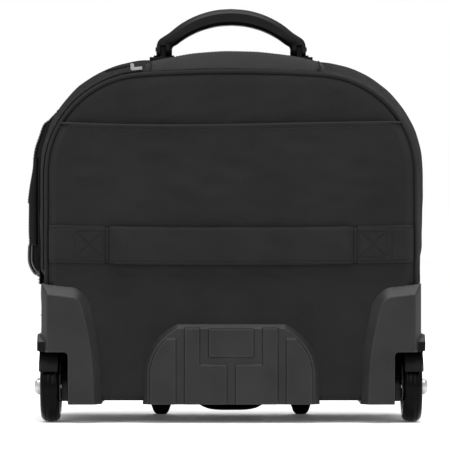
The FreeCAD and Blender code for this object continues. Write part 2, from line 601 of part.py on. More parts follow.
def make_hood():
    crest, low = HOOD_CREST[1] + 1, HOOD_CREST[0] - 20
    profile = [(BACK_Y + 2, low), (BACK_Y + 2, crest - 21), (HOOD_SLOT[0] - 3, crest),
               (HOOD_SLOT[1] + 2, crest), (HOOD_FRONT_Y, crest - 10), (HOOD_FRONT_Y, low)]
    solid = slab(profile, "x", (HOOD_X - HOOD_HALF, HOOD_X + HOOD_HALF))
    solid = solid.common(crest_arc_slab((-120, -40), 40, HOOD_HALF, 0.0))
    slot = block((HOOD_X - HOOD_SLOT_HALF, HOOD_X + HOOD_SLOT_HALF), HOOD_SLOT, (370, 440))
    over_piping = offset_arch(REAR_ARCH, PIPING_R + 0.1)
    piping_room = arch_loft([(over_piping, GUARD_BACK_Y), (over_piping, GUSSET_Y)])
    save("handle_hood", cut(solid, gusset_outer, piping_room, slot))

    half = HOOD_SLOT_HALF - 1
    tapes = [crest_arc_slab(y, ZIP_TAPE_T, half, 2.0)
             for y in ((HOOD_SLOT[0], HOOD_SLOT[0] + 3), (HOOD_SLOT[1] - 3, HOOD_SLOT[1]))]
    save("hood_zip_tapes", *tapes)


def make_carry_handle():
    y = (CARRY_Y - CARRY_DEPTH / 2, CARRY_Y + CARRY_DEPTH / 2)
    inner_x, outer_x = CARRY_EYE_X

    def at(x, z=CARRY_PIVOT_Z):
        return Vector(x, y[0], z)

    edges = [Part.Arc(at(-outer_x), at(0, CARRY_TOP_Z), at(outer_x)).toShape(),
             Part.LineSegment(at(outer_x), at(inner_x)).toShape(),
             Part.Arc(at(inner_x), at(0, CARRY_ARCH_Z), at(-inner_x)).toShape(),
             Part.LineSegment(at(-inner_x), at(-outer_x)).toShape()]
    bow = Part.Face(Part.Wire(edges)).extrude(Vector(0, CARRY_DEPTH, 0))
    # Above the pivot the bow narrows to its round eyes
    eye_y = (CARRY_Y - CARRY_EYE_R, CARRY_Y + CARRY_EYE_R)
    low, waist = CARRY_PIVOT_Z - CARRY_EYE_R, CARRY_PIVOT_Z + 4
    full, high = CARRY_PIVOT_Z + 22, CARRY_TOP_Z + 10
    side_view = [(eye_y[0], low), (eye_y[0], waist), (y[0], full), (y[0], high),
                 (y[1], high), (y[1], full), (eye_y[1], waist), (eye_y[1], low)]
    bow = bow.common(slab(side_view, "x", (-outer_x - 10, outer_x + 10)))
    eye = rod(inner_x, CARRY_Y, CARRY_PIVOT_Z, CARRY_EYE_R, outer_x - inner_x, (1, 0, 0))
    handle = fuse(bow, *both_sides(eye))
    fork = block((LUG_X[0] - GAP, LUG_X[1] + GAP), (y[0] - 1, y[1] + 1), (low - 1, CARRY_PIVOT_Z + LUG_R + 1))
    hole = rod(inner_x - 5, CARRY_Y, CARRY_PIVOT_Z, CARRY_PIN_R + RUNNING, outer_x - inner_x + 10, (1, 0, 0))
    save("carry_handle", cut(handle, *both_sides(fork), *both_sides(hole)))

    plate_low, plate_top = CARRY_PIVOT_Z - 19, CARRY_PIVOT_Z - CARRY_EYE_R - 0.9
    plate = block((inner_x - 6, outer_x + 6), (CARRY_Y - 14, CARRY_Y + 14), (plate_low, plate_top))
    lug = fuse(block(LUG_X, (CARRY_Y - LUG_R, CARRY_Y + LUG_R), (plate_low, CARRY_PIVOT_Z)),
               rod(LUG_X[0], CARRY_Y, CARRY_PIVOT_Z, LUG_R, LUG_X[1] - LUG_X[0], (1, 0, 0)))
    pin = rod(inner_x + 0.4, CARRY_Y, CARRY_PIVOT_Z, CARRY_PIN_R, outer_x - inner_x - 0.8, (1, 0, 0))
    save("carry_handle_brackets", *both_sides(cut(fuse(plate, lug), gusset_outer, pin)))
    save("carry_handle_pins", *both_sides(pin))


def make_side_handle():
    outer_x, inner_x = SIDE_GRIP_X
    low, high = SIDE_GRIP_Z[0] - GAP, SIDE_GRIP_Z[1] + GAP
    top = [(-200, 330), (-198, 349), (-209, 342), (-214, 338), (-224.5, 310), (-226, high),
           (inner_x, high), (-216, 306)]
    bottom = [(-216, 172), (-222, 169), (-227, 169.5), (-231, 180), (outer_x + 1.5, low),
              (inner_x, low), (-216, 190)]
    anchors = [cut(slab(outline, "y", SIDE_Y), gusset_outer) for outline in (top, bottom)]
    save("side_handle_anchors", *anchors)
    grip = block(SIDE_GRIP_X, SIDE_Y, SIDE_GRIP_Z)
    upright = [edge for edge in grip.Edges
               if abs(edge.Vertexes[0].Point.z - edge.Vertexes[1].Point.z) > 20]
    save("side_handle_grip", grip.makeFillet(4.0, upright))


# ---------------------------------------------------------------- lid and zips
def lid_loft(distance, front_y, bottom_z):
    return arch_loft([(offset_arch(FRONT_ARCH, distance), LID_Y - (0 if distance == 0 else 1)),
                      (offset_arch(FRONT_ARCH, distance), LID_Y + 5),
                      (offset_arch(FRONT_ARCH, distance - 9), front_y)], bottom_z)


def make_lid():
    shell = cut(lid_loft(0.0, LID_FRONT_Y, LID_BOTTOM_Z),
                lid_loft(-CLOTH, LID_FRONT_Y - CLOTH, LID_BOTTOM_Z + CLOTH))
    save("front_lid", shell)

    half, (low, high) = FRONT_POCKET_HALF, FRONT_POCKET_Z
    pocket = block((-half, half), (LID_FRONT_Y, FRONT_POCKET_Y), (low, high))
    outside = [edge for edge in pocket.Edges
               if min(vertex.Point.y for vertex in edge.Vertexes) > FRONT_POCKET_Y - 1
               and min(vertex.Point.z for vertex in edge.Vertexes) < low + 10]
    pocket = pocket.makeFillet(6.0, outside)
    hollow = block((CLOTH - half, half - CLOTH), (LID_FRONT_Y - 5, FRONT_POCKET_Y - 2.5),
                   (low + CLOTH, high + 10))
    save("front_pocket", cut(pocket, hollow))


def make_zips():
    for name, y in (("main_zip_tape", (GUSSET_FRONT_Y, 91.4)), ("lid_zip_tape", (92.0, LID_Y))):
        outer = arch_loft([(offset_arch(FRONT_ARCH, 0.4), limit) for limit in y], LID_BOTTOM_Z + 2)
        inner = arch_loft([(offset_arch(FRONT_ARCH, -CLOTH), limit) for limit in (y[0] - 1, y[1] + 1)],
                          LID_BOTTOM_Z - 10)
        save(name, cut(outer, inner))

    def rear_outline(y, distance):
        share = (y - GUSSET_Y) / (SECOND_Y - GUSSET_Y)
        return offset_arch(REAR_ARCH, 1.0 + 5.0 * share + distance), y

    track = arch_loft([rear_outline(y, 1.6) for y in (REAR_SLIDER_Y - 4, REAR_SLIDER_Y + 5)])
    track = cut(track, gusset_outer, block((HOOD_X - HOOD_HALF - 0.2, 300), (-120, -60), (0, 500)),
                block((-300, 300), (-120, -60), (0, 172)))
    save("rear_zip_tape", track)

    corner_x, corner_z = -(REAR_ARCH[0] - REAR_ARCH[1]), REAR_ARCH[2]
    deck = rear_outline(REAR_SLIDER_Y + 5, 1.6)[0][1] + GAP
    place = FreeCAD.Placement(Vector(0, 0, deck), FreeCAD.Rotation())
    turn = FreeCAD.Placement(Vector(corner_x, REAR_SLIDER_Y, corner_z),
                             FreeCAD.Rotation(Vector(0, 1, 0), -REAR_SLIDER_ANGLE))
    save_slider("rear_zip", turn.multiply(place), 8.0)

    # Track runs up the side; the slider's deck faces outwards
    upright = FreeCAD.Rotation(Vector(0, 0, 1), Vector(0, 1, 0), Vector(-1, 0, 0), "ZYX")
    place = Vector(-FRONT_ARCH[0] - 0.4 - GAP, MAIN_ZIP_Y, MAIN_SLIDER_Z)
    save_slider("main_zip", FreeCAD.Placement(place, upright), 0.0)

    # Track runs across the pocket; the slider's deck faces forwards and its puller hangs
    facing = FreeCAD.Rotation(Vector(0, 0, 1), Vector(1, 0, 0), Vector(0, 1, 0), "ZYX")
    place = Vector(POCKET_SLIDER_X, FRONT_POCKET_Y + GAP, FRONT_POCKET_Z[1] - 8)
    save_slider("pocket_zip", FreeCAD.Placement(place, facing), 0.0, 22.0)


def save_slider(name, place, droop, length=PULLER_L):
    """Slider on local z = 0, with its puller along local -x, hinged on a pin between two ears."""
    half_l, half_w = SLIDER_L / 2, SLIDER_W / 2
    pin_x, pin_z = -half_l + EAR_R - 1.0, SLIDER_H + EAR_R + 0.6
    body = block((-half_l, half_l), (-half_w, half_w), (0, SLIDER_H))
    ears = [fuse(rod(pin_x, y, pin_z, EAR_R, EAR_T, (0, 1, 0)),
                 block((pin_x - EAR_R, pin_x + EAR_R), (y, y + EAR_T), (1, pin_z)))
            for y in (-half_w, half_w - EAR_T)]
    pin = rod(pin_x, -half_w, pin_z, HINGE_PIN_R, SLIDER_W, (0, 1, 0))
    slider = fuse(body, pin, *ears)

    eye_half = half_w - EAR_T - 0.3
    tab_x = pin_x - EAR_R - 0.6
    eye = rod(pin_x, -eye_half, pin_z, EAR_R - 0.1, 2 * eye_half, (0, 1, 0))
    layer = (pin_z - PULLER_T / 2, pin_z + PULLER_T / 2)
    neck = block((tab_x - 1, pin_x), (-eye_half, eye_half), layer)
    tab = block((tab_x - length, tab_x), (-PULLER_W / 2, PULLER_W / 2), layer)
    puller = cut(fuse(eye, neck, tab), rod(pin_x, -half_w, pin_z, HINGE_PIN_R + RUNNING, SLIDER_W, (0, 1, 0)))
    puller.rotate(Vector(pin_x, 0, pin_z), Vector(0, 1, 0), -droop)
    for part, shape in (("slider", slider), ("puller", puller)):
        shape = shape.removeSplitter()
        shape.Placement = place.multiply(shape.Placement)
        save(f"{name}_{part}", shape)
    pivot = place.multVec(Vector(pin_x, 0, pin_z))
    print(f"{name} puller turns about {pivot.x + MID_X:.3f}, {pivot.y:.3f}, {pivot.z:.3f}")


make_soft_body()
make_back_details()
make_interior()
make_corner_guards()
make_kick_plate()
make_base_pieces()
make_wheels()
make_trolley()
make_hood()
make_carry_handle()
make_side_handle()
make_lid()
make_zips()
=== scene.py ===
import json
import math

import bpy
import numpy as np
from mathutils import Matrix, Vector

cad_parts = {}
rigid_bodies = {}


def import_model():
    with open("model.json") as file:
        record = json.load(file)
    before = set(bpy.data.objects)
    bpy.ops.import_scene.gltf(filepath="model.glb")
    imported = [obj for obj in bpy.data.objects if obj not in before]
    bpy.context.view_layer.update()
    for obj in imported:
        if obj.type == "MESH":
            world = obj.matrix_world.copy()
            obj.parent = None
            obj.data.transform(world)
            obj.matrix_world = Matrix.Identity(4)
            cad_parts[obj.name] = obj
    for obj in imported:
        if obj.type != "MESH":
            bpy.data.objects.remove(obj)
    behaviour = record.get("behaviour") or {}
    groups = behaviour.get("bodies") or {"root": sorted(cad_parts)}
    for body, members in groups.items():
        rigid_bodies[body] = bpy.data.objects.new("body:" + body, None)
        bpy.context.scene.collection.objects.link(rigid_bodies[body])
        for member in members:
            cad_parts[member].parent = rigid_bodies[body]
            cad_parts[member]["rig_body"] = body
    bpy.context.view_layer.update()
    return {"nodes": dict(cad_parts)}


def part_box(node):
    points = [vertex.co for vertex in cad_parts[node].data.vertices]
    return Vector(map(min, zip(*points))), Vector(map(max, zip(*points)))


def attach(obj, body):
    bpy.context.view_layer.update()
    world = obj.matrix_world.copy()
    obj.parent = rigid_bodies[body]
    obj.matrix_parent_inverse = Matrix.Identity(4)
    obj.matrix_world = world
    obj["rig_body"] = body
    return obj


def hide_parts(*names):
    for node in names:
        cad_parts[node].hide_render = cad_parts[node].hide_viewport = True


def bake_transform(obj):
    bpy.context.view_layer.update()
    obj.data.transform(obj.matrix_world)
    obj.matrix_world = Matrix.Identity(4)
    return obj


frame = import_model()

# Rolling laptop case. Shapes are drawn in millimetres about the case's own middle plane,
# X across, Y from back to front, Z up, and turned into metres when a piece is made.
MM = 0.001
SIDES = ((-1, "left"), (1, "right"))


# ---------------------------------------------------------------- sizes read from the frame
def span(node, axis):
    """Lowest and highest coordinate of a CAD node along an axis, in mm about the middle plane."""
    low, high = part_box(node)
    middle = MIDDLE if axis == 0 else 0.0
    return (low[axis] - middle) / MM, (high[axis] - middle) / MM


kick_low, kick_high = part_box("kick_plate")
MIDDLE = (kick_low.x + kick_high.x) / 2

PIPING_R = 2.4
REAR_HALF = span("rear_piping", 0)[1] - PIPING_R
REAR_TOP = span("rear_piping", 2)[1] - PIPING_R
REAR_ARCH = (REAR_HALF, 112.0, REAR_TOP - 115.6, REAR_TOP)
MIDDLE_ARCH = (REAR_HALF + 11.0, 126.0, REAR_TOP - 111.0, REAR_TOP + 17.0)
FRONT_ARCH = (REAR_HALF + 9.0, 124.0, REAR_TOP - 111.0, REAR_TOP + 15.0)
BACK_Y = span("back_panel", 1)[0]
BASE_Z = span("back_panel", 2)[0]
POCKET_Y = span("back_slip_pocket", 1)[0]
HEM_Z = span("back_slip_pocket", 2)[1]
STRAP_Z = span("back_strap", 2)
STRAP_Y = span("back_strap", 1)[0]
GUSSET_Y = span("main_gusset", 1)
HEM_SEAM = 5.5
POCKET_ZIP_Z = 232.0
CARRY_EYE_R = 8.5
BUTTON_TRAVEL = 3.5
GUARD_Z = span("corner_guard_right", 2)[1]
GUARD_FRONT_Y = span("corner_guard_right", 1)[1]
WELL_X, WELL_ROOF_Z, WELL_FRONT_Y = 183.5, 91.0, -35.0
GUARD_INNER_X = 196.0
TOP_WALL_Z = 360.0
WHEEL_X = sum(span("tyre_right", 0)) / 2
WHEEL_Y = sum(span("tyre_right", 1)) / 2
WHEEL_R = span("tyre_right", 2)[1] / 2
LID_Y = span("front_lid", 1)
LID_Z = span("front_lid", 2)


# ---------------------------------------------------------------- materials
class Shader:
    """A node material built up in code round one Principled shader."""

    def __init__(self, name, **sockets):
        self.material = bpy.data.materials.new(name)
        self.material.use_nodes = True
        self.tree = self.material.node_tree
        self.tree.nodes.clear()
        self.out = self.tree.nodes.new("ShaderNodeOutputMaterial")
        self.main = self.tree.nodes.new("ShaderNodeBsdfPrincipled")
        self.tree.links.new(self.main.outputs[0], self.out.inputs[0])
        for socket, value in sockets.items():
            self.main.inputs[socket.replace("_", " ")].default_value = value

    def node(self, kind, inputs=(), **settings):
        made = self.tree.nodes.new("ShaderNode" + kind)
        for key, value in settings.items():
            setattr(made, key, value)
        for socket, value in dict(inputs).items():
            self.feed(made.inputs[socket], value)
        return made

    def feed(self, socket, value):
        if isinstance(value, bpy.types.NodeSocket):
            self.tree.links.new(value, socket)
        else:
            socket.default_value = value

    def math(self, operation, a, b=0.0, c=0.0):
        return self.node("Math", {0: a, 1: b, 2: c}, operation=operation).outputs[0]

    def times(self, a, b, plus=0.0):
        return self.math("MULTIPLY_ADD", a, b, plus)

    def add(self, a, b):
        return self.math("ADD", a, b)

    def wave(self, value, turns):
        return self.math("SINE", self.times(value, turns))

    def place(self, attribute=None):
        """Where on the piece: its own cloth coordinates in metres, or its place on the case."""
        if attribute:
            return self.node("Attribute", attribute_name=attribute).outputs["Vector"]
        return self.node("TexCoord").outputs["Object"]

    def noise(self, place, scale, detail=4.0, roughness=0.55, distortion=0.0):
        inputs = {"Vector": place, "Scale": scale, "Detail": detail, "Roughness": roughness,
                  "Distortion": distortion}
        return self.node("TexNoise", inputs).outputs["Fac"]

    def remap(self, value, low, high, to_low=0.0, to_high=1.0):
        inputs = {"Value": value, "From Min": low, "From Max": high, "To Min": to_low, "To Max": to_high}
        return self.node("MapRange", inputs).outputs["Result"]

    def spread(self, value, middle, reach):
        """A noise turned into values a distance each side of a middle one."""
        return self.remap(value, 0.2, 0.8, middle - reach, middle + reach)

    def mix(self, share, a, b):
        made = self.node("Mix", {"Factor": share}, data_type="RGBA")
        self.feed(made.inputs[6], a)
        self.feed(made.inputs[7], b)
        return made.outputs[2]

    def bump(self, height, distance):
        return self.node("Bump", {"Height": height, "Distance": distance, "Strength": 1.0}).outputs["Normal"]

    def edge_wear_and_highlight(self):
        """0 on flat ground, 1 along convex edges."""
        pointy = self.node("NewGeometry").outputs["Pointiness"]
        return self.remap(pointy, 0.508, 0.56)

    def finish(self, colour, roughness=None, normal=None):
        for socket, value in (("Base Color", colour), ("Roughness", roughness), ("Normal", normal)):
            if value is not None:
                self.feed(self.main.inputs[socket], value)
        return self.material


def grey(level):
    """A colour without hue, from its linear brightness."""
    return (level, level, level, 1.0)


def woven(name, thread, dark, light, relief, roughness=0.88, basket=2.0, glint=0.06):
    """Woven cloth: threads of a given width pass over and under each other in a basket weave."""
    s = Shader(name, Sheen_Weight=0.02, Sheen_Roughness=0.45, Specular_IOR_Level=glint)
    cloth = s.place("weave")
    drift = s.node("TexNoise", {"Vector": cloth, "Scale": 160.0, "Detail": 1.0}).outputs["Color"]
    wander = {0: drift, 1: (thread * 0.55,) * 3, 2: cloth}
    bent = s.node("VectorMath", wander, operation="MULTIPLY_ADD").outputs[0]
    x, y, _ = s.node("SeparateXYZ", {0: bent}).outputs
    turns = math.pi / thread
    warp_round = s.math("ABSOLUTE", s.wave(x, turns))
    weft_round = s.math("ABSOLUTE", s.wave(y, turns))
    baskets = s.times(s.wave(x, turns / basket), s.wave(y, turns / basket))
    over = s.remap(baskets, -0.25, 0.25)
    height = s.times(warp_round, over, s.times(weft_round, s.math("SUBTRACT", 1.0, over)))
    fuzz = s.noise(cloth, 2600.0, 2.0, 0.7)
    broad = s.noise(cloth, 14.0, 3.0)
    speck = s.noise(cloth, 430.0, 4.0, 0.8)
    shade = s.times(height, 0.40, s.times(speck, 0.60))
    shade = s.times(s.math("SUBTRACT", broad, 0.5), 0.35, shade)
    shade = s.times(fuzz, 0.12, shade)
    colour = s.mix(s.remap(shade, 0.1, 0.95), grey(dark), grey(light))
    return s.finish(colour, s.spread(speck, roughness, 0.08), s.bump(s.times(fuzz, 0.35, height), relief))


def moulded_plastic(name, dark, light, roughness, grain, grain_size=1900.0, wear_and_highlight=0.3, glint=0.2):
    """Moulded plastic with a fine leather-like grain, faint flow marks, and convex edges lighter: partly
    rubbed wear, partly painted highlight.
    """
    s = Shader(name, Specular_IOR_Level=glint)
    here = s.place()
    cells = {"Vector": here, "Scale": grain_size, "Randomness": 1.0}
    grain_height = s.node("TexVoronoi", cells, feature="SMOOTH_F1").outputs["Distance"]
    flow = s.noise(here, 22.0, 3.0)
    fine = s.noise(here, 420.0, 3.0)
    scuffs = s.remap(s.noise(here, 55.0, 6.0, 0.75, 1.5), 0.56, 0.72, 0.0, 0.35)
    # convex edges lightened: rubbed wear plus painted highlight where the edges catch the light
    worn_and_highlit = s.times(s.edge_wear_and_highlight(), wear_and_highlight)
    tone = s.times(fine, 0.2, s.remap(flow, 0.3, 0.7, 0.1, 0.5))
    tone = s.add(tone, s.times(scuffs, 0.35, worn_and_highlit))
    colour = s.mix(tone, grey(dark), grey(light))
    rough = s.times(scuffs, 0.2, s.spread(fine, roughness, 0.06))
    return s.finish(colour, rough, s.bump(s.times(fine, 0.3, grain_height), grain))


def metal(name, level, roughness, brushed=(1.0, 1.0, 1.0)):
    """Bare metal with faint smudges; brushed stretches the fine lines in its roughness."""
    s = Shader(name, Metallic=1.0)
    here = s.place()
    stretch = s.node("Mapping", {"Vector": here, "Scale": brushed}).outputs[0]
    lines = s.noise(stretch, 900.0, 4.0, 0.7)
    smudge = s.noise(here, 30.0, 4.0)
    tone = s.mix(s.remap(smudge, 0.3, 0.7), grey(level), grey(0.82 * level))
    rough = s.times(smudge, 0.05, s.remap(lines, 0.2, 0.8, roughness - 0.06, roughness + 0.08))
    return s.finish(tone, rough, s.bump(lines, 0.00002))


def ribbed_cloth(name, pitch, dark, light, roughness=0.75, glint=0.08):
    """Narrow woven tape: fine ribs across its width."""
    s = Shader(name, Sheen_Weight=0.02, Specular_IOR_Level=glint)
    cloth = s.place("weave")
    x, y, _ = s.node("SeparateXYZ", {0: cloth}).outputs
    turns = math.pi / pitch
    across = s.math("ABSOLUTE", s.wave(x, turns))
    twill = s.math("ABSOLUTE", s.wave(s.add(x, y), turns / 1.4))
    height = s.times(across, 0.6, s.times(twill, 0.4))
    height = s.times(s.wave(y, turns / 0.8), 0.12, height)
    fuzz = s.noise(cloth, 1500.0, 3.0, 0.7)
    tone = s.times(height, 0.5, s.times(fuzz, 0.5))
    colour = s.mix(s.remap(tone, 0.15, 0.85), grey(dark), grey(light))
    normal = s.bump(s.times(fuzz, 0.3, height), pitch * 0.25)
    return s.finish(colour, s.spread(fuzz, roughness, 0.06), normal)


# Cloths: width of a thread or rib in metres, darkest and lightest grey, and for woven cloth its relief.
# Plastics: darkest and lightest grey, roughness, depth of the grain and how fine it is.
# Metals: grey and roughness.
MATERIALS = {
    "fabric": woven("ballistic_nylon", 0.0011, 0.0012, 0.0225, 0.00040),
    # hood cloth lighter than the body's: partly its own tone, partly painted light for its up-facing top
    "hood": woven("hood_nylon", 0.0011, 0.0050, 0.0440, 0.00040),
    "hem": woven("hem_binding", 0.0008, 0.0060, 0.0300, 0.00016),
    "strap": woven("strap_nylon", 0.0010, 0.0014, 0.0225, 0.00034),
    # side walls: the body's cloth made darker, as painted shade
    "side": woven("side_nylon_shaded", 0.0011, 0.0012, 0.0150, 0.00035, glint=0.03),
    "lining": woven("lining_nylon", 0.0007, 0.050, 0.105, 0.00010, basket=1.0, roughness=0.6),
    "webbing": ribbed_cloth("webbing", 0.0016, 0.0015, 0.0070, roughness=0.55),
    "gloss_webbing": ribbed_cloth("gloss_webbing", 0.0014, 0.0020, 0.0100, roughness=0.30, glint=0.4),
    "piping": ribbed_cloth("piping_cord", 0.0012, 0.0030, 0.0170, roughness=0.7),
    "tape": ribbed_cloth("zip_tape", 0.0009, 0.0010, 0.0050),
    "thread": ribbed_cloth("thread", 0.0006, 0.0100, 0.0320, roughness=0.6),
    # guard and kick plate: strongly lightened edges, partly rubbed wear, mostly painted highlight along their
    # bevels
    "guard": moulded_plastic("guard_plastic", 0.0050, 0.0185, 0.42, 0.00006, wear_and_highlight=0.9, glint=0.22),
    "well": moulded_plastic("well_shadow_plastic", 0.0020, 0.0060, 0.60, 0.00006, glint=0.06),
    "black": moulded_plastic("satin_black_plastic", 0.0015, 0.0070, 0.38, 0.00003, 2600.0, glint=0.1),
    "handle": moulded_plastic("handle_grip", 0.0010, 0.0070, 0.34, 0.00008, 1300.0, wear_and_highlight=0.5, glint=0.12),
    "rubber": moulded_plastic("foot_rubber", 0.0010, 0.0040, 0.55, 0.00005, 1500.0, glint=0.05),
    "tyre": moulded_plastic("tyre_urethane", 0.0005, 0.0020, 0.20, 0.00002, 900.0, glint=0.05),
    "hub": moulded_plastic("hub_plastic", 0.10, 0.20, 0.34, 0.00003, 2400.0),
    "board": moulded_plastic("base_board", 0.0050, 0.0180, 0.6, 0.00010, 900.0, glint=0.1),
    "cord": moulded_plastic("puller_rubber", 0.0010, 0.0050, 0.42, 0.00004, 2000.0, glint=0.1),
    # glossy edging whose light grey is a painted highlight
    "glossy_highlight_cord": moulded_plastic("glossy_highlight_edging", 0.030, 0.070, 0.22, 0.00002, 1500.0, glint=0.6),
    "coil": moulded_plastic("zip_coil", 0.0030, 0.0110, 0.30, 0.00002, 3000.0, glint=0.12),
    "tube": metal("anodised_tube", 0.42, 0.30, (40.0, 40.0, 1.0)),
    "steel": metal("zinc_steel", 0.50, 0.26),
    "zip": metal("nickel_zip", 0.38, 0.24),
}


# ---------------------------------------------------------------- mesh helpers
def to_frame(points):
    """Millimetres about the middle plane to metres in the frame."""
    moved = np.array(points, float) * MM
    moved[..., 0] += MIDDLE
    return moved


def from_frame(values):
    """Coordinates in the frame, as one flat list, to points in millimetres about the middle plane."""
    return values.reshape(-1, 3) / MM - (MIDDLE / MM, 0, 0)


def stack(*parts):
    """Points from their coordinates, each an array or one number."""
    return np.stack(np.broadcast_arrays(*parts), axis=-1)


def shade_smooth(mesh):
    mesh.polygons.foreach_set("use_smooth", [True] * len(mesh.polygons))


def show(name, mesh):
    obj = bpy.data.objects.new(name, mesh)
    bpy.context.scene.collection.objects.link(obj)
    return obj


def piece(name, points, faces, body, material, weave=None):
    """A new piece on a body; weave gives each point its place on the cloth, in mm."""
    mesh = bpy.data.meshes.new(name)
    mesh.from_pydata(to_frame(np.reshape(points, (-1, 3))).tolist(), [], faces)
    mesh.update()
    shade_smooth(mesh)
    mesh.materials.append(MATERIALS[material])
    if weave is not None:
        flat = np.zeros((len(mesh.vertices), 3), np.float32)
        flat[:, :2] = np.reshape(weave, (-1, 2)) * MM
        mesh.attributes.new("weave", "FLOAT_VECTOR", "POINT").data.foreach_set("vector", flat.ravel())
    obj = show(name, mesh)
    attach(obj, body)
    return obj


def grid_faces(rows, columns, close_rows=False, close_columns=False, skip=None):
    """Quads of a grid of points; skip(row, column) leaves a quad out."""
    faces = []
    for i in range(rows if close_rows else rows - 1):
        for j in range(columns if close_columns else columns - 1):
            if skip is None or not skip(i, j):
                k, m = (i + 1) % rows, (j + 1) % columns
                faces.append((i * columns + j, i * columns + m, k * columns + m, k * columns + j))
    return faces


def bar_faces(rows, count):
    """Faces of a bar made of rings of points, with its two end caps."""
    caps = [tuple(range(count)), tuple(range(count * rows - 1, count * (rows - 1) - 1, -1))]
    return grid_faces(rows, count, False, True) + caps


def lengths(line):
    """Distance along a line of points."""
    return np.concatenate([[0.0], np.cumsum(np.linalg.norm(np.diff(line, axis=0), axis=1))])


def spaced(line, step):
    """The line again, with points an even distance apart."""
    along = lengths(line)
    count = max(2, int(round(along[-1] / step)) + 1)
    at = np.linspace(0, along[-1], count)
    return np.stack([np.interp(at, along, line[:, k]) for k in range(line.shape[1])], axis=1)


def smooth_step(value, low, high):
    """0 below low, 1 above high, with a soft rise between them."""
    t = np.clip((np.asarray(value, float) - low) / (high - low), 0, 1)
    return t * t * (3 - 2 * t)


def ripples(u, v, size, seed):
    """Soft random cloth ripples between about -1 and 1; size is the usual wavelength across u and v."""
    waves = 7
    made = np.random.default_rng(seed)
    total = np.zeros(np.broadcast(u, v).shape)
    for _ in range(waves):
        ku, kv = made.normal(0, 2 * math.pi / size[0]), made.normal(0, 2 * math.pi / size[1])
        total += made.uniform(0.5, 1.0) * np.sin(ku * u + kv * v + made.uniform(0, 2 * math.pi))
    return total / math.sqrt(waves)


# ---------------------------------------------------------------- the case's outlines
def grow(arch, distance):
    """An outline (half width, corner radius, corner centre height, top) moved outward."""
    half, radius, corner_z, top = arch
    return half + distance, radius + distance, corner_z, top + distance


def blend_arch(first, second, share):
    return tuple(a + (b - a) * share for a, b in zip(first, second))


def arch_parts(arch):
    """Crown centre height, crown radius, and the lean at which the crown meets the corners."""
    half, radius, corner_z, top = arch
    corner_x, reach = half - radius, top - radius
    crown_z = (reach + corner_z - corner_x ** 2 / (reach - corner_z)) / 2
    return crown_z, top - crown_z, math.atan2(corner_x, corner_z - crown_z)


SIDE_STEPS, CORNER_STEPS, HALF_CROWN_STEPS = 66, 48, 27


def arch_line(arch, bottom_z=BASE_Z):
    """Points (x, z) from the bottom left, over the top, to the bottom right."""
    half, radius, corner_z, _ = arch
    crown_z, crown_r, lean = arch_parts(arch)
    side = np.linspace(bottom_z, corner_z, SIDE_STEPS, endpoint=False)
    left = stack(-half, side)
    turn = np.linspace(math.pi, math.pi / 2 + lean, CORNER_STEPS, endpoint=False)
    corner = stack(-(half - radius) + radius * np.cos(turn), corner_z + radius * np.sin(turn))
    turn = np.linspace(-lean, 0, HALF_CROWN_STEPS)
    crown = stack(crown_r * np.sin(turn), crown_z + crown_r * np.cos(turn))
    start = np.concatenate([left, corner, crown])
    end = start[:-1][::-1] * (-1, 1)
    return np.concatenate([start, end])


def arch_height(arch, x):
    """Height of the outline above a distance from the middle plane."""
    half, radius, corner_z, _ = arch
    crown_z, crown_r, lean = arch_parts(arch)
    x = np.abs(np.asarray(x, float))
    over_crown = crown_z + np.sqrt(np.maximum(crown_r ** 2 - x ** 2, 0))
    over_corner = corner_z + np.sqrt(np.maximum(radius ** 2 - (x - half + radius) ** 2, 0))
    return np.where(x < crown_r * math.sin(lean), over_crown, over_corner)


def arch_depth(arch, x, z):
    """How far inside the outline a point is (the bottom edge isn't counted)."""
    half, radius, corner_z, _ = arch
    crown_z, crown_r, lean = arch_parts(arch)
    x = np.abs(x)
    side = half - x
    corner = radius - np.hypot(x - (half - radius), z - corner_z)
    crown = crown_r - np.hypot(x, z - crown_z)
    angle = np.arctan2(x, z - crown_z)
    low_down = np.where((z > corner_z) & (x > half - radius), corner, np.minimum(side, crown))
    return np.where(angle < lean, crown, low_down)


def arch_half(arch, z):
    """How far the outline reaches from the middle plane at a height on its side or corner."""
    half, radius, corner_z, _ = arch
    rise = min(max(z - corner_z, 0.0), radius)
    return half - radius + math.sqrt(radius ** 2 - rise ** 2)


def flat_panel(arch, rows, y_of, name, material, top_limit=None, step=3.0):
    """A D-shaped cloth panel seen from the back, cut away over the wheel wells.

    y_of(x, z, depth, up) is its surface. Its columns are closer together where the outline is steep."""
    outline = spaced(arch_line(arch, arch[2] - 1.0), step)[:, 0]
    well_edges = (-WELL_X + 0.3, -WELL_X + 2.8, WELL_X - 2.8, WELL_X - 0.3)
    x = np.unique(np.round(np.concatenate([outline, well_edges]), 3))
    ceiling = arch_height(arch, x)
    if top_limit:
        ceiling = np.minimum(ceiling, top_limit(x))
    z = BASE_Z + (ceiling - BASE_Z)[:, None] * np.linspace(0, 1, rows)
    across = np.repeat(x[:, None], rows, axis=1)
    y = y_of(across, z, arch_depth(arch, across, z), z - BASE_Z)

    def over_well(i, j):
        return abs(x[i] + x[i + 1]) / 2 > WELL_X - 1.0 and z[i, j] < WELL_ROOF_Z

    faces = grid_faces(len(x), rows, skip=over_well)
    return piece(name, stack(across, y, z), faces, "case", material, stack(across, z))


# ---------------------------------------------------------------- sweeps, ribbons and stitches
def frames_along(line, closed=False):
    """Direction of a line at each of its points."""
    ahead = np.roll(line, -1, axis=0) - line
    if not closed:
        ahead[-1] = ahead[-2]
    behind = np.roll(ahead, 1, axis=0)
    if not closed:
        behind[0] = ahead[0]
    tangent = ahead + behind
    return tangent / np.maximum(np.linalg.norm(tangent, axis=1, keepdims=True), 1e-9)


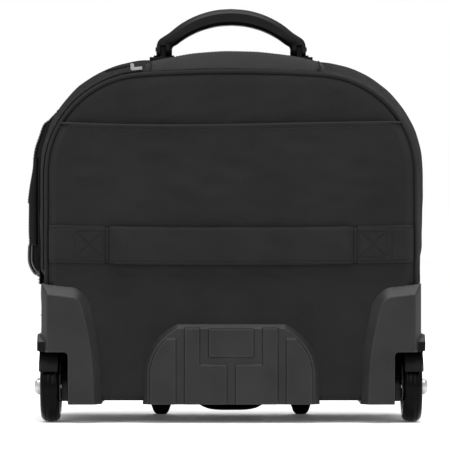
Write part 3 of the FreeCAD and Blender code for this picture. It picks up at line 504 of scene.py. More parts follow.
def sweep(name, line, section, body, material, up=(0, -1, 0), closed=False):
    """A bar along a line. Section points are (side, up); up is one direction, or one for each point."""
    line, section = np.array(line, float), np.array(section, float)
    tangent = frames_along(line, closed)
    lift = np.broadcast_to(np.array(up, float), line.shape)
    lift = lift - (lift * tangent).sum(1, keepdims=True) * tangent
    lift = lift / np.linalg.norm(lift, axis=1, keepdims=True)
    side = np.cross(tangent, lift)
    points = line[:, None] + side[:, None] * section[:, :1] + lift[:, None] * section[:, 1:]
    size = (len(line), len(section))
    faces = grid_faces(*size, True, True) if closed else bar_faces(*size)
    round_it = lengths(np.vstack([section, section[:1]]))[:-1]
    weave = np.stack(np.meshgrid(lengths(line), round_it, indexing="ij"), axis=2)
    return piece(name, points, faces, body, material, weave)


def circle(radius, count=10):
    angle = np.arange(count) * 2 * math.pi / count
    return radius * stack(np.cos(angle), np.sin(angle))


def rounded_bar(width, height, corner, steps=3):
    """Section of a bar with round corners."""
    made = []
    for quarter, (sx, sy) in enumerate(((1, 1), (-1, 1), (-1, -1), (1, -1))):
        for angle in np.linspace(quarter * math.pi / 2, (quarter + 1) * math.pi / 2, steps + 1):
            made.append((sx * (width / 2 - corner) + corner * math.cos(angle),
                         sy * (height / 2 - corner) + corner * math.sin(angle)))
    return np.array(made)


def soft_polygon(corners, radius):
    """A closed outline with each corner rounded off."""
    corners = np.array(corners, float)
    made = []
    for before, corner, after in zip(np.roll(corners, 1, axis=0), corners, np.roll(corners, -1, axis=0)):
        start = corner + (before - corner) / np.linalg.norm(before - corner) * radius
        end = corner + (after - corner) / np.linalg.norm(after - corner) * radius
        made += [start, (start + end + 2 * corner) / 4, end]
    return np.array(made)


def section_ring(outer, inner, y, reach, section):
    """One ring of a bar between an outer and an inner point (x, z).

    Each section point is an outward share and a share of its reach."""
    middle, half = (np.array(outer) + inner) / 2, (np.array(outer) - inner) / 2
    out, aside = section.T
    return stack(middle[0] + half[0] * out, y + reach * aside, middle[1] + half[1] * out)


# reach along a stitch and its girth there
STITCH = ((-1.0, 0.35), (-0.55, 0.9), (0.0, 1.0), (0.55, 0.9), (1.0, 0.35))
STITCH_PITCH, STITCH_LENGTH, THREAD_R = 3.6, 2.5, 0.42


def stitches(name, lines, normal, body):
    """Rows of thread: short humps that lie along each line, half sunk in the cloth."""
    points, faces = [], []
    ring = np.arange(6) * math.pi / 3
    for line in lines:
        line = spaced(np.array(line, float), STITCH_PITCH)
        ups = np.array([normal(p) for p in line]) if callable(normal) else np.array(normal, float)
        ups = np.broadcast_to(ups, line.shape)
        ahead = frames_along(line)
        for centre, along, up in zip((line[:-1] + line[1:]) / 2, ahead[:-1], (ups[:-1] + ups[1:]) / 2):
            up = up / np.linalg.norm(up)
            side = np.cross(along, up)
            base = len(points)
            for reach, girth in STITCH:
                sunk = THREAD_R * 0.55 * (1 - reach ** 2)
                middle = centre + along * reach * STITCH_LENGTH / 2 + up * sunk
                for angle in ring:
                    thread = side * math.cos(angle) + up * math.sin(angle)
                    points.append(middle + THREAD_R * girth * thread)
            faces += [tuple(base + k for k in face) for face in bar_faces(len(STITCH), 6)]
    points = np.array(points)
    return piece(name, points, faces, body, "thread", points[:, [0, 2]])


def groove(x, z, lines, width):
    """1 on a row of sewing and 0 away from it, where the thread pulls the cloth in."""
    nearest = np.full(x.shape, 1e6)
    for line in lines:
        for (ax, az), (bx, bz) in zip(line[:-1], line[1:]):
            dx, dz = bx - ax, bz - az
            along = np.clip(((x - ax) * dx + (z - az) * dz) / (dx ** 2 + dz ** 2), 0, 1)
            nearest = np.minimum(nearest, np.hypot(x - ax - along * dx, z - az - along * dz))
    return np.exp(-(nearest / width) ** 2)


def loft_bar(name, outer, inner, y, reach, body, material):
    """Bar between an outer and an inner line (x, z), reaching a distance each side of y, with round edges."""
    turn = np.arange(36) * 2 * math.pi / 36
    section = stack(*(np.sign(share) * np.abs(share) ** 0.45 for share in (np.cos(turn), np.sin(turn))))
    rows = np.array([section_ring(a, b, y, reach, section) for a, b in zip(outer, inner)])
    along = lengths((outer + inner) / 2)
    weave = np.stack(np.meshgrid(along, turn * reach / 2, indexing="ij"), axis=2)
    return piece(name, rows, bar_faces(len(rows), len(turn)), body, material, weave)


def bend(obj):
    """Take a piece off its body, so that it rides on none."""
    obj.parent = None
    obj.matrix_world = ((1, 0, 0, 0), (0, 1, 0, 0), (0, 0, 1, 0), (0, 0, 0, 1))
    del obj["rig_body"]
    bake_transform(obj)


def ribbon(name, line, width, thickness, body, material, up):
    section = rounded_bar(width, thickness, min(thickness, width) * 0.45)
    return sweep(name, line, section, body, material, up)


# ---------------------------------------------------------------- pieces taken from the frame's own shapes
WELD_DISTANCE = 0.00001


def own_shading(obj, steps):
    """Drop the CAD's own normals and double points, so that Blender can work on the shape."""
    normals = obj.data.attributes.get("custom_normal")
    if normals is not None:
        obj.data.attributes.remove(normals)
    obj.modifiers.new("weld", "WELD").merge_threshold = WELD_DISTANCE
    return [obj.modifiers.new(kind.lower(), kind) for kind in steps]


def coat(obj, node, material):
    """Material and smooth shading of a piece that comes from a CAD node."""
    obj.data.materials.clear()
    obj.data.materials.append(MATERIALS[material])
    shade_smooth(obj.data)


def moulded(node, material, voxel=1.0, rounds=6):
    """A CAD shape with every edge rounded, as a moulding has."""
    source = frame["nodes"][node]
    obj = show(f"{node}_moulded", source.data.copy())
    remesh, relax = own_shading(obj, ("REMESH", "SMOOTH"))
    remesh.mode, remesh.voxel_size = "VOXEL", voxel * MM
    remesh.use_smooth_shade = True
    relax.factor, relax.iterations = 0.5, rounds
    bake(obj)
    coat(obj, node, material)
    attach(obj, source["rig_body"])
    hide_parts(node)
    return obj


def finished(node, material, round_edges=0.0):
    """A CAD node that stays, with its material and softened edges."""
    obj = frame["nodes"][node]
    coat(obj, node, material)
    steps = own_shading(obj, ("BEVEL", "WEIGHTED_NORMAL") if round_edges else ("WEIGHTED_NORMAL",))
    steps[-1].keep_sharp = True
    if round_edges:
        bevel = steps[0]
        bevel.width, bevel.segments = round_edges * MM, 2
        bevel.limit_method, bevel.angle_limit = "ANGLE", math.radians(35)
        bevel.use_clamp_overlap = True


def bake(obj):
    """Turn the object's modifiers into its mesh."""
    graph = bpy.context.evaluated_depsgraph_get()
    made = bpy.data.meshes.new_from_object(obj.evaluated_get(graph), depsgraph=graph)
    obj.modifiers.clear()
    obj.data = made


def shift(obj, moves):
    """Move a piece's points, in mm."""
    co = np.empty(3 * len(obj.data.vertices))
    obj.data.vertices.foreach_get("co", co)
    obj.data.vertices.foreach_set("co", co + np.reshape(moves, -1) * MM)
    obj.data.update()


def surface_of(obj, columns, rows):
    """The front surface of a piece made as a grid: gives y at (x, z)."""
    co = np.empty(3 * len(obj.data.vertices))
    obj.data.vertices.foreach_get("co", co)
    grid = from_frame(co).reshape(columns, rows, 3)

    def at(x, z):
        column = int(np.argmin(np.abs(grid[:, rows // 2, 0] - x)))
        return np.interp(z, grid[column, :, 2], grid[column, :, 1])

    return at


def cut_box(obj, corner, opposite):
    """Cut a box out of a piece."""
    low, high = np.minimum(corner, opposite), np.maximum(corner, opposite)
    corners = [(x, y, z) for x in (low[0], high[0]) for y in (low[1], high[1]) for z in (low[2], high[2])]
    faces = [(0, 1, 3, 2), (4, 6, 7, 5), (0, 4, 5, 1), (2, 3, 7, 6), (0, 2, 6, 4), (1, 5, 7, 3)]
    mesh = bpy.data.meshes.new("cutter")
    mesh.from_pydata(to_frame(corners).tolist(), [], faces)
    cutter = show("cutter", mesh)
    boolean = obj.modifiers.new("cut", "BOOLEAN")
    boolean.operation, boolean.object, boolean.solver = "DIFFERENCE", cutter, "EXACT"
    bake(obj)
    bpy.data.objects.remove(cutter)


def paint(obj, material, inside):
    """Give another material to the faces of a piece whose middles lie inside a region."""
    obj.data.materials.append(MATERIALS[material])
    middles = np.empty(3 * len(obj.data.polygons))
    obj.data.polygons.foreach_get("center", middles)
    chosen = inside(*from_frame(middles).T).astype(np.int32)
    obj.data.polygons.foreach_set("material_index", chosen * (len(obj.data.materials) - 1))


def in_well(x, y, z):
    """Inside a wheel well or under its fender, but not the axle's bearer: the faces that get the darker well
    plastic, as painted shade.
    """
    back = span("corner_guard_right", 1)[0]
    x = np.abs(x)
    bearer = (x < WELL_X + 9.5) & (z < WHEEL_R + 13)
    fender = (x < WHEEL_X + 10.0) & (z > 40) & (z < WELL_ROOF_Z - 15)
    well = (y > back + 4) & (y < WELL_FRONT_Y + 0.3) & (z < WELL_ROOF_Z + 0.3)
    return (x > WELL_X + 0.6) & ~bearer & (fender | well)


# ---------------------------------------------------------------- back of the case
SHEET_ARCH = grow(REAR_ARCH, -2.8)
SHEET_DEEP = 300.0


def make_back():
    def panel_y(x, z, depth, up):
        puff = 1.6 * smooth_step(depth, 0, 14) - 3.0 * (1 - smooth_step(depth, 0, 5))
        return BACK_Y - puff - 0.35 * ripples(x, z, (90, 60), seed=3)

    def lining_y(x, z, depth, up):
        return np.full(x.shape, BACK_Y + 5.0)

    panel = flat_panel(grow(REAR_ARCH, -1.4), 150, panel_y, "back_panel_padded", "fabric")
    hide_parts("back_panel")
    flat_panel(grow(REAR_ARCH, -3.0), 60, lining_y, "back_panel_lining", "lining")

    def hem(x):
        return HEM_Z - 1.6 + 3.4 * (x / REAR_HALF) ** 2 + 1.2 * np.sin(x / 70.0)

    def pocket_y(x, z, depth, up):
        edge_shadow = smooth_step(depth, 0, 9) * smooth_step(up, -2, 7)
        face, sewn = POCKET_Y - 0.6, BACK_Y - 0.6
        to_hem = hem(x) - z
        # shallow drag lines under the hem, fuller to the right, and above and below the strap
        under_hem = smooth_step(to_hem, 3, 20) * (1 - smooth_step(to_hem, 55, 120))
        under_hem = under_hem * (1.0 + 0.6 * smooth_step(x, 40, 170))
        by_strap = np.exp(-((z - STRAP_Z[0] + 14) / 14) ** 2)
        fold_shadow = 0.45 * ripples(x + 0.5 * z, z, (130, 34), seed=11) * under_hem
        fold_shadow = fold_shadow + 0.4 * ripples(x, z, (60, 45), seed=5)
        fold_shadow = fold_shadow + by_strap * 0.7 * ripples(x, z, (50, 22), seed=8)
        lip = -1.2 * np.exp(-((to_hem - 2.0) / 2.4) ** 2) + 0.5 * np.exp(-((to_hem - HEM_SEAM) / 1.0) ** 2)
        return sewn + (face - sewn - fold_shadow + lip) * edge_shadow

    sheet = flat_panel(SHEET_ARCH, 230, pocket_y, "slip_pocket_sheet", "fabric", hem, 2.6)
    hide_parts("back_slip_pocket")

    x = np.linspace(-202, 202, 180)
    hem_y = pocket_y(x, hem(x), arch_depth(REAR_ARCH, x, hem(x)), SHEET_DEEP)
    hem_line = stack(x, hem_y + 0.7, hem(x) - 0.4)[4:-4]
    hem_roll = sweep("slip_pocket_hem", hem_line, rounded_bar(2.2, 2.4, 1.0), "case", "hem")
    z = hem(x) - HEM_SEAM
    seam = stack(x, pocket_y(x, z, arch_depth(SHEET_ARCH, x, z), SHEET_DEEP), z)[3:-3]
    stitches("slip_pocket_hem_stitches", [seam], (0, -1, 0), "case")
    return pocket_y


def make_strap(pocket_y):
    """Band across the back that another case's handle passes behind; sewn down at its ends."""
    half, bottom, top = 204.0, STRAP_Z[0], STRAP_Z[1]
    shoulders, box_near, box_far, end_seam = 140.0, 144.0, 174.8, 180.5
    inner_fold, outer_fold = 136.9, 140.8
    x = np.linspace(-half, half, 300)
    v = np.linspace(0, 1, 64)
    across = np.repeat(x[:, None], len(v), axis=1)
    sag = -3.0 * (1 - (x / half) ** 2)
    z = (bottom + sag * 0.7)[:, None] + (top - bottom + sag * 0.25)[:, None] * v

    # rows of sewing: along both edges, a crossed box at each end, and the seams where the band turns under
    low, high = bottom + 1.2, top - 4.6
    ends = half - 1
    rows = []
    for end_z, shoulder_z, middle_z in ((bottom + 2.6, low + 0.2, low - 0.1), (top - 3.0, high + 1.2, high)):
        rows.append([(-ends, end_z), (-shoulders, shoulder_z), (0, middle_z), (shoulders, shoulder_z),
                     (ends, end_z)])
    for side, _ in SIDES:
        near, far = side * box_near, side * box_far
        b, t = low + 4.0, high - 2.2
        rows.append([(near, b), (far, b), (far, t), (near, t), (near, b)])
        rows += [[(near, b), (far, t)], [(near, t), (far, b)]]
        rows += [[(side * seam, low + 1.5), (side * seam, high)] for seam in (135.2, 142.6)]
    rows.append([(end_seam, low + 1.5), (end_seam, high)])

    loose = 1 - smooth_step(np.abs(across), 129, 138.5)
    under = pocket_y(across, z, arch_depth(SHEET_ARCH, across, z), SHEET_DEEP)
    y = under * (1 - loose) + (STRAP_Y + 1.0) * loose - 1.9
    y = y - 0.35 * ripples(across, z, (80, 40), seed=21) * (0.4 + loose) - 0.9 * loose * np.sin(math.pi * v)
    rim = np.minimum(v, 1 - v) * (top - bottom)
    y = y + 2.2 * (1 - smooth_step(rim, 0, 2.2))
    y = y + 0.9 * groove(across, z, rows, 0.9)
    for turned in (inner_fold, outer_fold):
        y = y + 2.4 * np.exp(-((np.abs(across) - turned) / 1.0) ** 2)
    strap = piece("back_strap_band", stack(across, y, z), grid_faces(len(x), len(v)), "case", "strap",
                  stack(across, z))
    thick = strap.modifiers.new("thick", "SOLIDIFY")
    thick.thickness, thick.offset = 1.8 * MM, -1.0
    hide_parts("back_strap")

    def surface(px, pz):
        i = np.clip(np.searchsorted(x, px), 1, len(x) - 1)
        share = (pz - z[i, 0]) / (z[i, -1] - z[i, 0])
        return np.interp(np.clip(share, 0, 1), v, y[i]) - 0.1

    lines = []
    for row in rows:
        line = spaced(np.array(row, float), STITCH_PITCH)
        lines.append(np.array([(px, surface(px, pz), pz) for px, pz in line]))
    stitches("back_strap_stitches", lines, (0, -1, 0), "case")
    # near-black cords along the band's edges and turned seams: painted shadow in the gaps by the band
    for label, column, drop in (("bottom", 0, -0.5), ("top", -1, 0.5)):
        proud = np.minimum(y[:, column] - 0.3, under[:, column] - 0.4)
        edge_shadow = stack(x, proud, z[:, column] + drop)[1:-1]
        sweep(f"back_strap_{label}_edge", edge_shadow, circle(0.8, 8), "case", "tape")
    for side, label in SIDES:
        for place, seam in (("inner", inner_fold), ("outer", outer_fold)):
            height = np.linspace(low - 0.8, high + 2.4, 14)
            fold_shadow = np.array([(side * seam, surface(side * seam, pz) - 0.2, pz) for pz in height])
            sweep(f"back_strap_{label}_{place}_fold", fold_shadow, circle(1.0, 8), "case", "tape")


def arch_path(arch, y, bottom_z, step=4.0):
    """An outline as points in space, at one depth."""
    line = spaced(arch_line(arch, bottom_z), step)
    return stack(line[:, 0], y, line[:, 1])


def outward(point):
    """Direction away from the case's body, in the plane of its outline."""
    half, radius, corner_z, _ = REAR_ARCH
    if point[2] < corner_z:
        return (math.copysign(1.0, point[0]), 0.0, 0.0)
    centre_x = math.copysign(half - radius, point[0]) if abs(point[0]) > half - radius else point[0] * 0.85
    away = np.array([point[0] - centre_x, 0.0, point[2] - corner_z])
    return away / np.linalg.norm(away)


def all_outward(points):
    return np.array([outward(point) for point in points])


def make_piping():
    y = sum(span("rear_piping", 1)) / 2
    bottom = GUARD_Z - 6
    path = arch_path(REAR_ARCH, y, bottom, 2.5)
    cord = sweep("rear_piping_cord", path, circle(PIPING_R, 14), "case", "piping")
    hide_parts("rear_piping")
    flange = arch_path(grow(REAR_ARCH, -2.6), y + 0.8, bottom, 3.0)
    sweep("rear_piping_flange", flange, rounded_bar(1.4, 3.0, 0.6), "case", "tape")


# ---------------------------------------------------------------- sides, top and bottom
HOOD_LOW, HOOD_HIGH = span("handle_hood", 0)
HOOD_MIDDLE = (HOOD_LOW + HOOD_HIGH) / 2
HOOD_HALF = (HOOD_HIGH - HOOD_LOW) / 2
SLOT_HALF = HOOD_HALF - 10.0
SLOT_Y = span("trolley_top_bezel", 1)
HOOD_TOP = span("handle_hood", 2)[1]
HOOD_DROP = 14.0


def gusset_arch(y):
    """The body's outline at a distance along its depth."""
    stations = [(GUSSET_Y[0], grow(REAR_ARCH, 1.0)), (GUSSET_Y[0] + 22.4, grow(REAR_ARCH, 6.0)),
                (-45.0, MIDDLE_ARCH), (40.0, MIDDLE_ARCH), (GUSSET_Y[1], FRONT_ARCH)]
    at = [s[0] for s in stations]
    i = min(max(int(np.searchsorted(at, y)) - 1, 0), len(at) - 2)
    share = min(max((y - at[i]) / (at[i + 1] - at[i]), 0.0), 1.0)
    return blend_arch(stations[i][1], stations[i + 1][1], share)


def wall_x(y, z):
    """Where the body's left wall stands, at a depth and a height."""
    return -arch_half(gusset_arch(y), z)


def gusset_surface(ys, distance=0.0, seed=31, wrinkle=1.0):
    """Points of the padded wall that runs round the case, one row for each depth."""
    rows = np.array([arch_line(grow(gusset_arch(y), distance)) for y in ys])
    points = stack(rows[:, :, 0], ys[:, None], rows[:, :, 1])
    u = np.repeat(lengths(rows[len(rows) // 2])[None, :], len(ys), axis=0)
    v = points[:, :, 1]
    away = all_outward(points.reshape(-1, 3)).reshape(points.shape)
    broad, fine = ripples(u, v, (150, 70), seed=seed), ripples(u, v, (55, 90), seed=seed + 1)
    lift = wrinkle * (0.8 * broad + 0.35 * fine)
    ends = smooth_step(v, GUSSET_Y[0], GUSSET_Y[0] + 16) * (1 - smooth_step(v, GUSSET_Y[1] - 14, GUSSET_Y[1]))
    lift = lift * ends - wrinkle * 1.2 * (1 - ends)
    return tuck_under_guards(points + away * lift[:, :, None]), stack(u, v)


def tuck_under_guards(points):
    """Pull the wall in where the corner guards clasp it; the right side eases out more slowly."""
    x, y, z = points[..., 0], points[..., 1], points[..., 2]
    behind = 1 - smooth_step(y, GUARD_FRONT_Y - 1, GUARD_FRONT_Y + 12)
    below = 1 - smooth_step(z, GUARD_Z - 2, np.where(x < 0, GUARD_Z + 16, GUARD_Z + 42))
    limit = 208.5
    pull = behind * below
    points[..., 0] = np.where(np.abs(x) > limit, np.sign(x) * (limit * pull + np.abs(x) * (1 - pull)), x)
    return points


def make_gusset():
    edges = [*SLOT_Y, GUARD_FRONT_Y - 0.2, WELL_FRONT_Y + 0.2]
    ys = np.unique(np.concatenate([np.linspace(*GUSSET_Y, 74), edges]))
    outer, weave = gusset_surface(ys)
    inner, inner_weave = gusset_surface(ys, -4.2, seed=37, wrinkle=0.5)

    def hidden(i, j, cells=outer):
        x, y, z = cells[i:i + 2, j:j + 2].reshape(-1, 3).mean(axis=0)
        if z > TOP_WALL_Z and SLOT_Y[0] - 1 < y < SLOT_Y[1] + 1 and abs(x - HOOD_MIDDLE) < SLOT_HALF + 2:
            return True
        return y < GUARD_FRONT_Y and z < GUARD_Z - 6 and abs(x) > GUARD_INNER_X

    def hidden_inside(i, j):
        x, y, z = inner[i:i + 2, j:j + 2].reshape(-1, 3).mean(axis=0)
        return hidden(i, j, inner) or (y < WELL_FRONT_Y and z < WELL_ROOF_Z and abs(x) > WELL_X - 4)

    size = outer.shape[:2]
    # the wall is in the darker side cloth: painted shade
    wall = piece("main_gusset_cloth", outer, grid_faces(*size, skip=hidden), "case", "side",
                 weave)
    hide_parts("main_gusset")
    piece("main_gusset_lining", inner, grid_faces(*size, skip=hidden_inside), "case", "lining",
          inner_weave)

    # Taped seam where the wall meets the lid's zip
    rim = arch_path(grow(FRONT_ARCH, 0.2), GUSSET_Y[1] - 0.4, BASE_Z)
    ribbon("main_gusset_front_binding", rim, 5.0, 1.8, "case", "tape", all_outward(rim))
    front = GUSSET_Y[1] - 7.0
    line = arch_path(gusset_arch(front), front, BASE_Z + 30, STITCH_PITCH)
    stitches("main_gusset_front_stitches", [line + all_outward(line) * 0.1], outward, "case")
    rear = GUSSET_Y[0] + 6.0
    line = arch_path(grow(gusset_arch(rear), -0.3), rear, GUARD_Z + 4, STITCH_PITCH)
    stitches("main_gusset_rear_stitches", [line[line[:, 0] > HOOD_HIGH + 3]], outward, "case")


def make_underside():
    finished("base_board", "board", 0.4)
    for _, side in SIDES:
        moulded(f"foot_{side}", "rubber", 0.9, 8)
    finished("base_screws", "steel", 0.2)
    make_grab_handle()

    low, high = span("front_sill", 0), span("front_sill", 2)
    front = span("front_sill", 1)
    reach = (low[1] - low[0]) / 2
    corner = 14.0
    quarter = np.linspace(0, math.pi / 2, 12)
    turn = stack(-reach + corner * (1 - np.cos(quarter)), front[1] - corner * (1 - np.sin(quarter)), 0.0)
    straight = stack(np.linspace(-reach + corner + 4, 0, 60), front[1], 0.0)
    line = np.vstack([(-reach, front[0], 0.0), (-reach, front[1] - corner, 0.0), turn, straight])
    line = spaced(np.vstack([line, line[:-1][::-1] * (-1, 1, 1)]), 3.5)
    away = np.cross(frames_along(line), (0, 0, -1.0))
    # outward and upward reach of the sill's section, from under the base to the lid
    profile = [(-14.0, 0.2), (-6.0, 0.0), (-2.0, 0.8), (0.0, 3.2), (0.4, 9.0), (0.6, 18.0), (0.4, 27.0),
               (0.0, 32.0), (-1.6, 34.8), (-6.0, 35.6), (-12.0, 35.7)]
    profile = spaced(np.array(profile), 2.2)
    rows = np.array([line + away * out + (0, 0, high[0] + up) for out, up in profile])
    u, v = np.broadcast_arrays(lengths(line), lengths(profile)[:, None])
    bulge = 0.5 * ripples(u, v, (70, 30), seed=41)
    rows = rows + away * (bulge * smooth_step(v, 8, 18))[:, :, None]
    sill = piece("front_sill_cloth", rows, grid_faces(len(profile), len(line)), "case", "fabric",
                 stack(u, v))
    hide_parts("front_sill")

    def facing(point):
        return (0, 1, 0) if point[1] > front[1] - 3 else (np.sign(point[0]), 0.3, 0)

    stitches("front_sill_stitches", [line + away * 0.55 + (0, 0, high[1] - 5.5)], facing, "case")
    base = line + away * 0.2 + (0, 0, high[0] + 2.0)
    sweep("front_sill_piping", base, circle(1.7), "case", "piping", (0, 0, 1))


def hood_crest(x):
    """Height of the collar's rim, highest in the middle."""
    return HOOD_TOP - HOOD_DROP * ((x - HOOD_MIDDLE) / HOOD_HALF) ** 2


def make_grab_handle():
    """Scooped handle under the base, for lifting the case flat."""
    low_x, high_x = span("bottom_grab_handle", 0)
    y0, y1 = span("bottom_grab_handle", 1)
    low, high = span("bottom_grab_handle", 2)
    t = np.linspace(-1, 1, 61)
    under = low + (high - low) * np.abs(t) ** 4
    over = np.maximum(np.minimum(under + 4.2, high), under + 0.4)
    corners = [(1.0, -0.8), (1.0, 0.8), (0.4, 1.0), (-1.0, 1.0), (-1.0, -1.0), (0.4, -1.0)]
    section = soft_polygon(corners, 0.12)
    x = (high_x + low_x) / 2 + (high_x - low_x) / 2 * t
    rows = np.array([section_ring((px, a), (px, b), (y0 + y1) / 2, (y1 - y0) / 2, section)
                     for px, a, b in zip(x, under, over)])
    count = len(section)
    faces = grid_faces(len(rows), count, False, True)
    faces += [tuple(range(count))[::-1], tuple(range(count * (len(rows) - 1), count * len(rows)))]
    handle = piece("bottom_grab_handle_strap", rows, faces, "case", "rubber")
    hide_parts("bottom_grab_handle")
    web = np.array([stack(x, y1 - 1.5, under + 1.0), stack(x, y1 - 1.5, high + 0.5)])
    sheet = piece("bottom_grab_handle_web", web, grid_faces(2, len(x)), "case", "rubber")
    sheet.modifiers.new("thick", "SOLIDIFY").thickness = 1.4 * MM


def make_hood():
    """Padded collar that stands up round the telescopic handle's grip."""
    middle_y, half_y = (SLOT_Y[0] + SLOT_Y[1]) / 2, (SLOT_Y[1] - SLOT_Y[0]) / 2
    slot_floor, across_steps = 386.0, 34
    loop = rounded_bar(2 * SLOT_HALF, 2 * half_y, 9.0, 8)
    loop = spaced(np.vstack([loop, loop[:1]]), 3.0)[:-1]
    tangent = frames_along(loop, closed=True)
    away = stack(tangent[:, 1], -tangent[:, 0])
    rear = smooth_step(-loop[:, 1], half_y - 8, half_y)
    rows = []
    for place, out, back in zip(loop, away, rear):
        x, y = place[0] + HOOD_MIDDLE, place[1] + middle_y
        crest = hood_crest(np.clip(x, HOOD_LOW + 4, HOOD_HIGH - 4))
        reach = 9.5
        if out[1] < -0.5:
            reach += back * 1.5
        elif out[1] > 0.5:
            reach = 4.5
        foot_x = x + out[0] * 9.8
        foot_y = max(y + out[1] * reach, BACK_Y + 2.4)
        if foot_y < GUSSET_Y[0]:
            foot_z = float(arch_height(grow(REAR_ARCH, 1.5), foot_x))
        else:
            foot_z = float(arch_height(gusset_arch(foot_y), foot_x)) - 1.2
        rise = crest - foot_z
        path = [(foot_x, foot_y, foot_z)]
        for share, height in ((0.06, 0.30), (0.20, 0.62), (0.42, 0.86), (0.66, 0.97), (0.86, 1.0)):
            side, along = foot_x + (x - foot_x) * share, foot_y + (y - foot_y) * share
            path.append((side, along, foot_z + rise * height))
        path += [(x, y, crest - 0.8), (x - out[0] * 0.5, y - out[1] * 0.5, crest - 3.0),
                 (x - out[0] * 0.2, y - out[1] * 0.2, crest - 10.0), (x, y, slot_floor)]
        path = np.array(path)
        at = np.linspace(0, len(path) - 1, across_steps)
        rows.append(stack(*(np.interp(at, np.arange(len(path)), column) for column in path.T)))
    fine = np.array(rows)
    for _ in range(3):
        fine[:, 1:-1] = (fine[:, :-2] + 2 * fine[:, 1:-1] + fine[:, 2:]) / 4
    for _ in range(4):
        fine = (np.roll(fine, 1, axis=0) + 2 * fine + np.roll(fine, -1, axis=0)) / 4
    u = np.repeat(lengths(np.vstack([loop, loop[:1]]))[:-1][:, None], across_steps, axis=1)
    v = np.array([lengths(row) for row in fine])
    fine[..., 2] += 0.35 * ripples(u, v, (60, 25), seed=51)
    faces = grid_faces(len(loop), across_steps, True, False)
    hood = piece("handle_hood_collar", fine, faces, "case", "hood", stack(u, v))
    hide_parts("handle_hood")

    # seams: round the rim, and across both ends from the foot to just over the rim
    ring = fine[:, 17]
    stitches("handle_hood_rim_stitches", [np.vstack([ring, ring[:1]])], (0, 0, 1), "case")
    for side, label in SIDES:
        x = HOOD_MIDDLE + side * (HOOD_HALF - 8.0)
        line = []
        for column in fine[:, :22].transpose(1, 0, 2):
            off_seam = np.abs(column[:, 0] - x) + 1000 * (column[:, 1] > middle_y)
            line.append(column[np.argmin(off_seam)])
        seam = np.array(line) + (0, -0.3, 0.4)
        sweep(f"handle_hood_seam_{label}", seam, circle(0.8, 8), "case", "piping", (0, -1, 0.2))

    finished("hood_zip_tapes", "tape")
    base = fine[:, 0] + (0, 0, 0.6)
    sweep("handle_hood_base_piping", base, circle(0.9, 8), "case", "tape", (0, 0, 1), closed=True)


# ---------------------------------------------------------------- plastic parts
PLASTIC_AND_STEEL = {
    "black": {"release_button": 0.8, "trolley_middle_collars": 0.5, "trolley_bottom_bracket": 0.8,
              "trolley_tube_plugs": 0.3, "carry_handle_pins": 0.3},
    "well": {"carry_handle_brackets": 0.7},
    "steel": {"push_rod_yoke": 0.2, "lock_pins": 0.3, "axle_nuts": 0.4, "wheel_bearings_left": 0.3,
              "wheel_bearings_right": 0.3, "axle_left": 0.4, "axle_right": 0.4},
    "tube": {f"trolley_{stage}_tube_{side}": 0.0
             for stage in ("outer", "middle", "inner") for _, side in SIDES},
}


def make_plastics():
    for _, side in SIDES:
        # wheel wells and fender faces painted in darker plastic: painted shade
        paint(moulded(f"corner_guard_{side}", "guard", 1.0, 5), "well", in_well)
    moulded("kick_plate", "guard", 0.85, 4)
    moulded("trolley_top_bezel", "black", 0.8, 3)
    grip = moulded("trolley_grip", "handle", 0.8, 6)
    low, high = np.array([span("release_button", axis) for axis in range(3)]).T
    cut_box(grip, low - (0.5, 0.5, BUTTON_TRAVEL + 0.3), high + (0.5, 0.5, 5.0))
    for material, nodes in PLASTIC_AND_STEEL.items():
        for node, round_edges in nodes.items():
            finished(node, material, round_edges)


def make_wheels():
    tyre_low, tyre_high = span("tyre_right", 0)
    half = (tyre_high - tyre_low) / 2
    # half of the tyre's section, from its bead over the shoulder to the middle: (place across, radius)
    profile = [(-half + 1.0, 29.0), (-half + 0.2, 30.5), (-half, 33.0), (-half + 0.7, 35.6),
               (-half + 2.2, 37.6), (-half + 4.4, 38.9), (-5.2, 39.45), (-4.6, 39.1), (-4.0, 39.1),
               (-3.4, 39.8), (0, WHEEL_R)]
    bore = [(half - 1.0, 28.6), (-half + 1.0, 28.6)]
    profile = np.array(profile + [(-a, r) for a, r in profile[:-1][::-1]] + bore)
    angle = np.linspace(0, 2 * math.pi, 128, endpoint=False)[:, None]
    across, radius = profile.T
    for side, label in SIDES:
        y, z = WHEEL_Y + radius * np.cos(angle), WHEEL_R + radius * np.sin(angle)
        rows = stack(side * WHEEL_X + across, y, z)
        tyre = piece(f"tyre_{label}_ring", rows, grid_faces(len(angle), len(profile), True, True),
                     f"wheel_{label}", "tyre")
        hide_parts(f"tyre_{label}")
        moulded(f"wheel_hub_{label}", "hub", 0.8, 4)


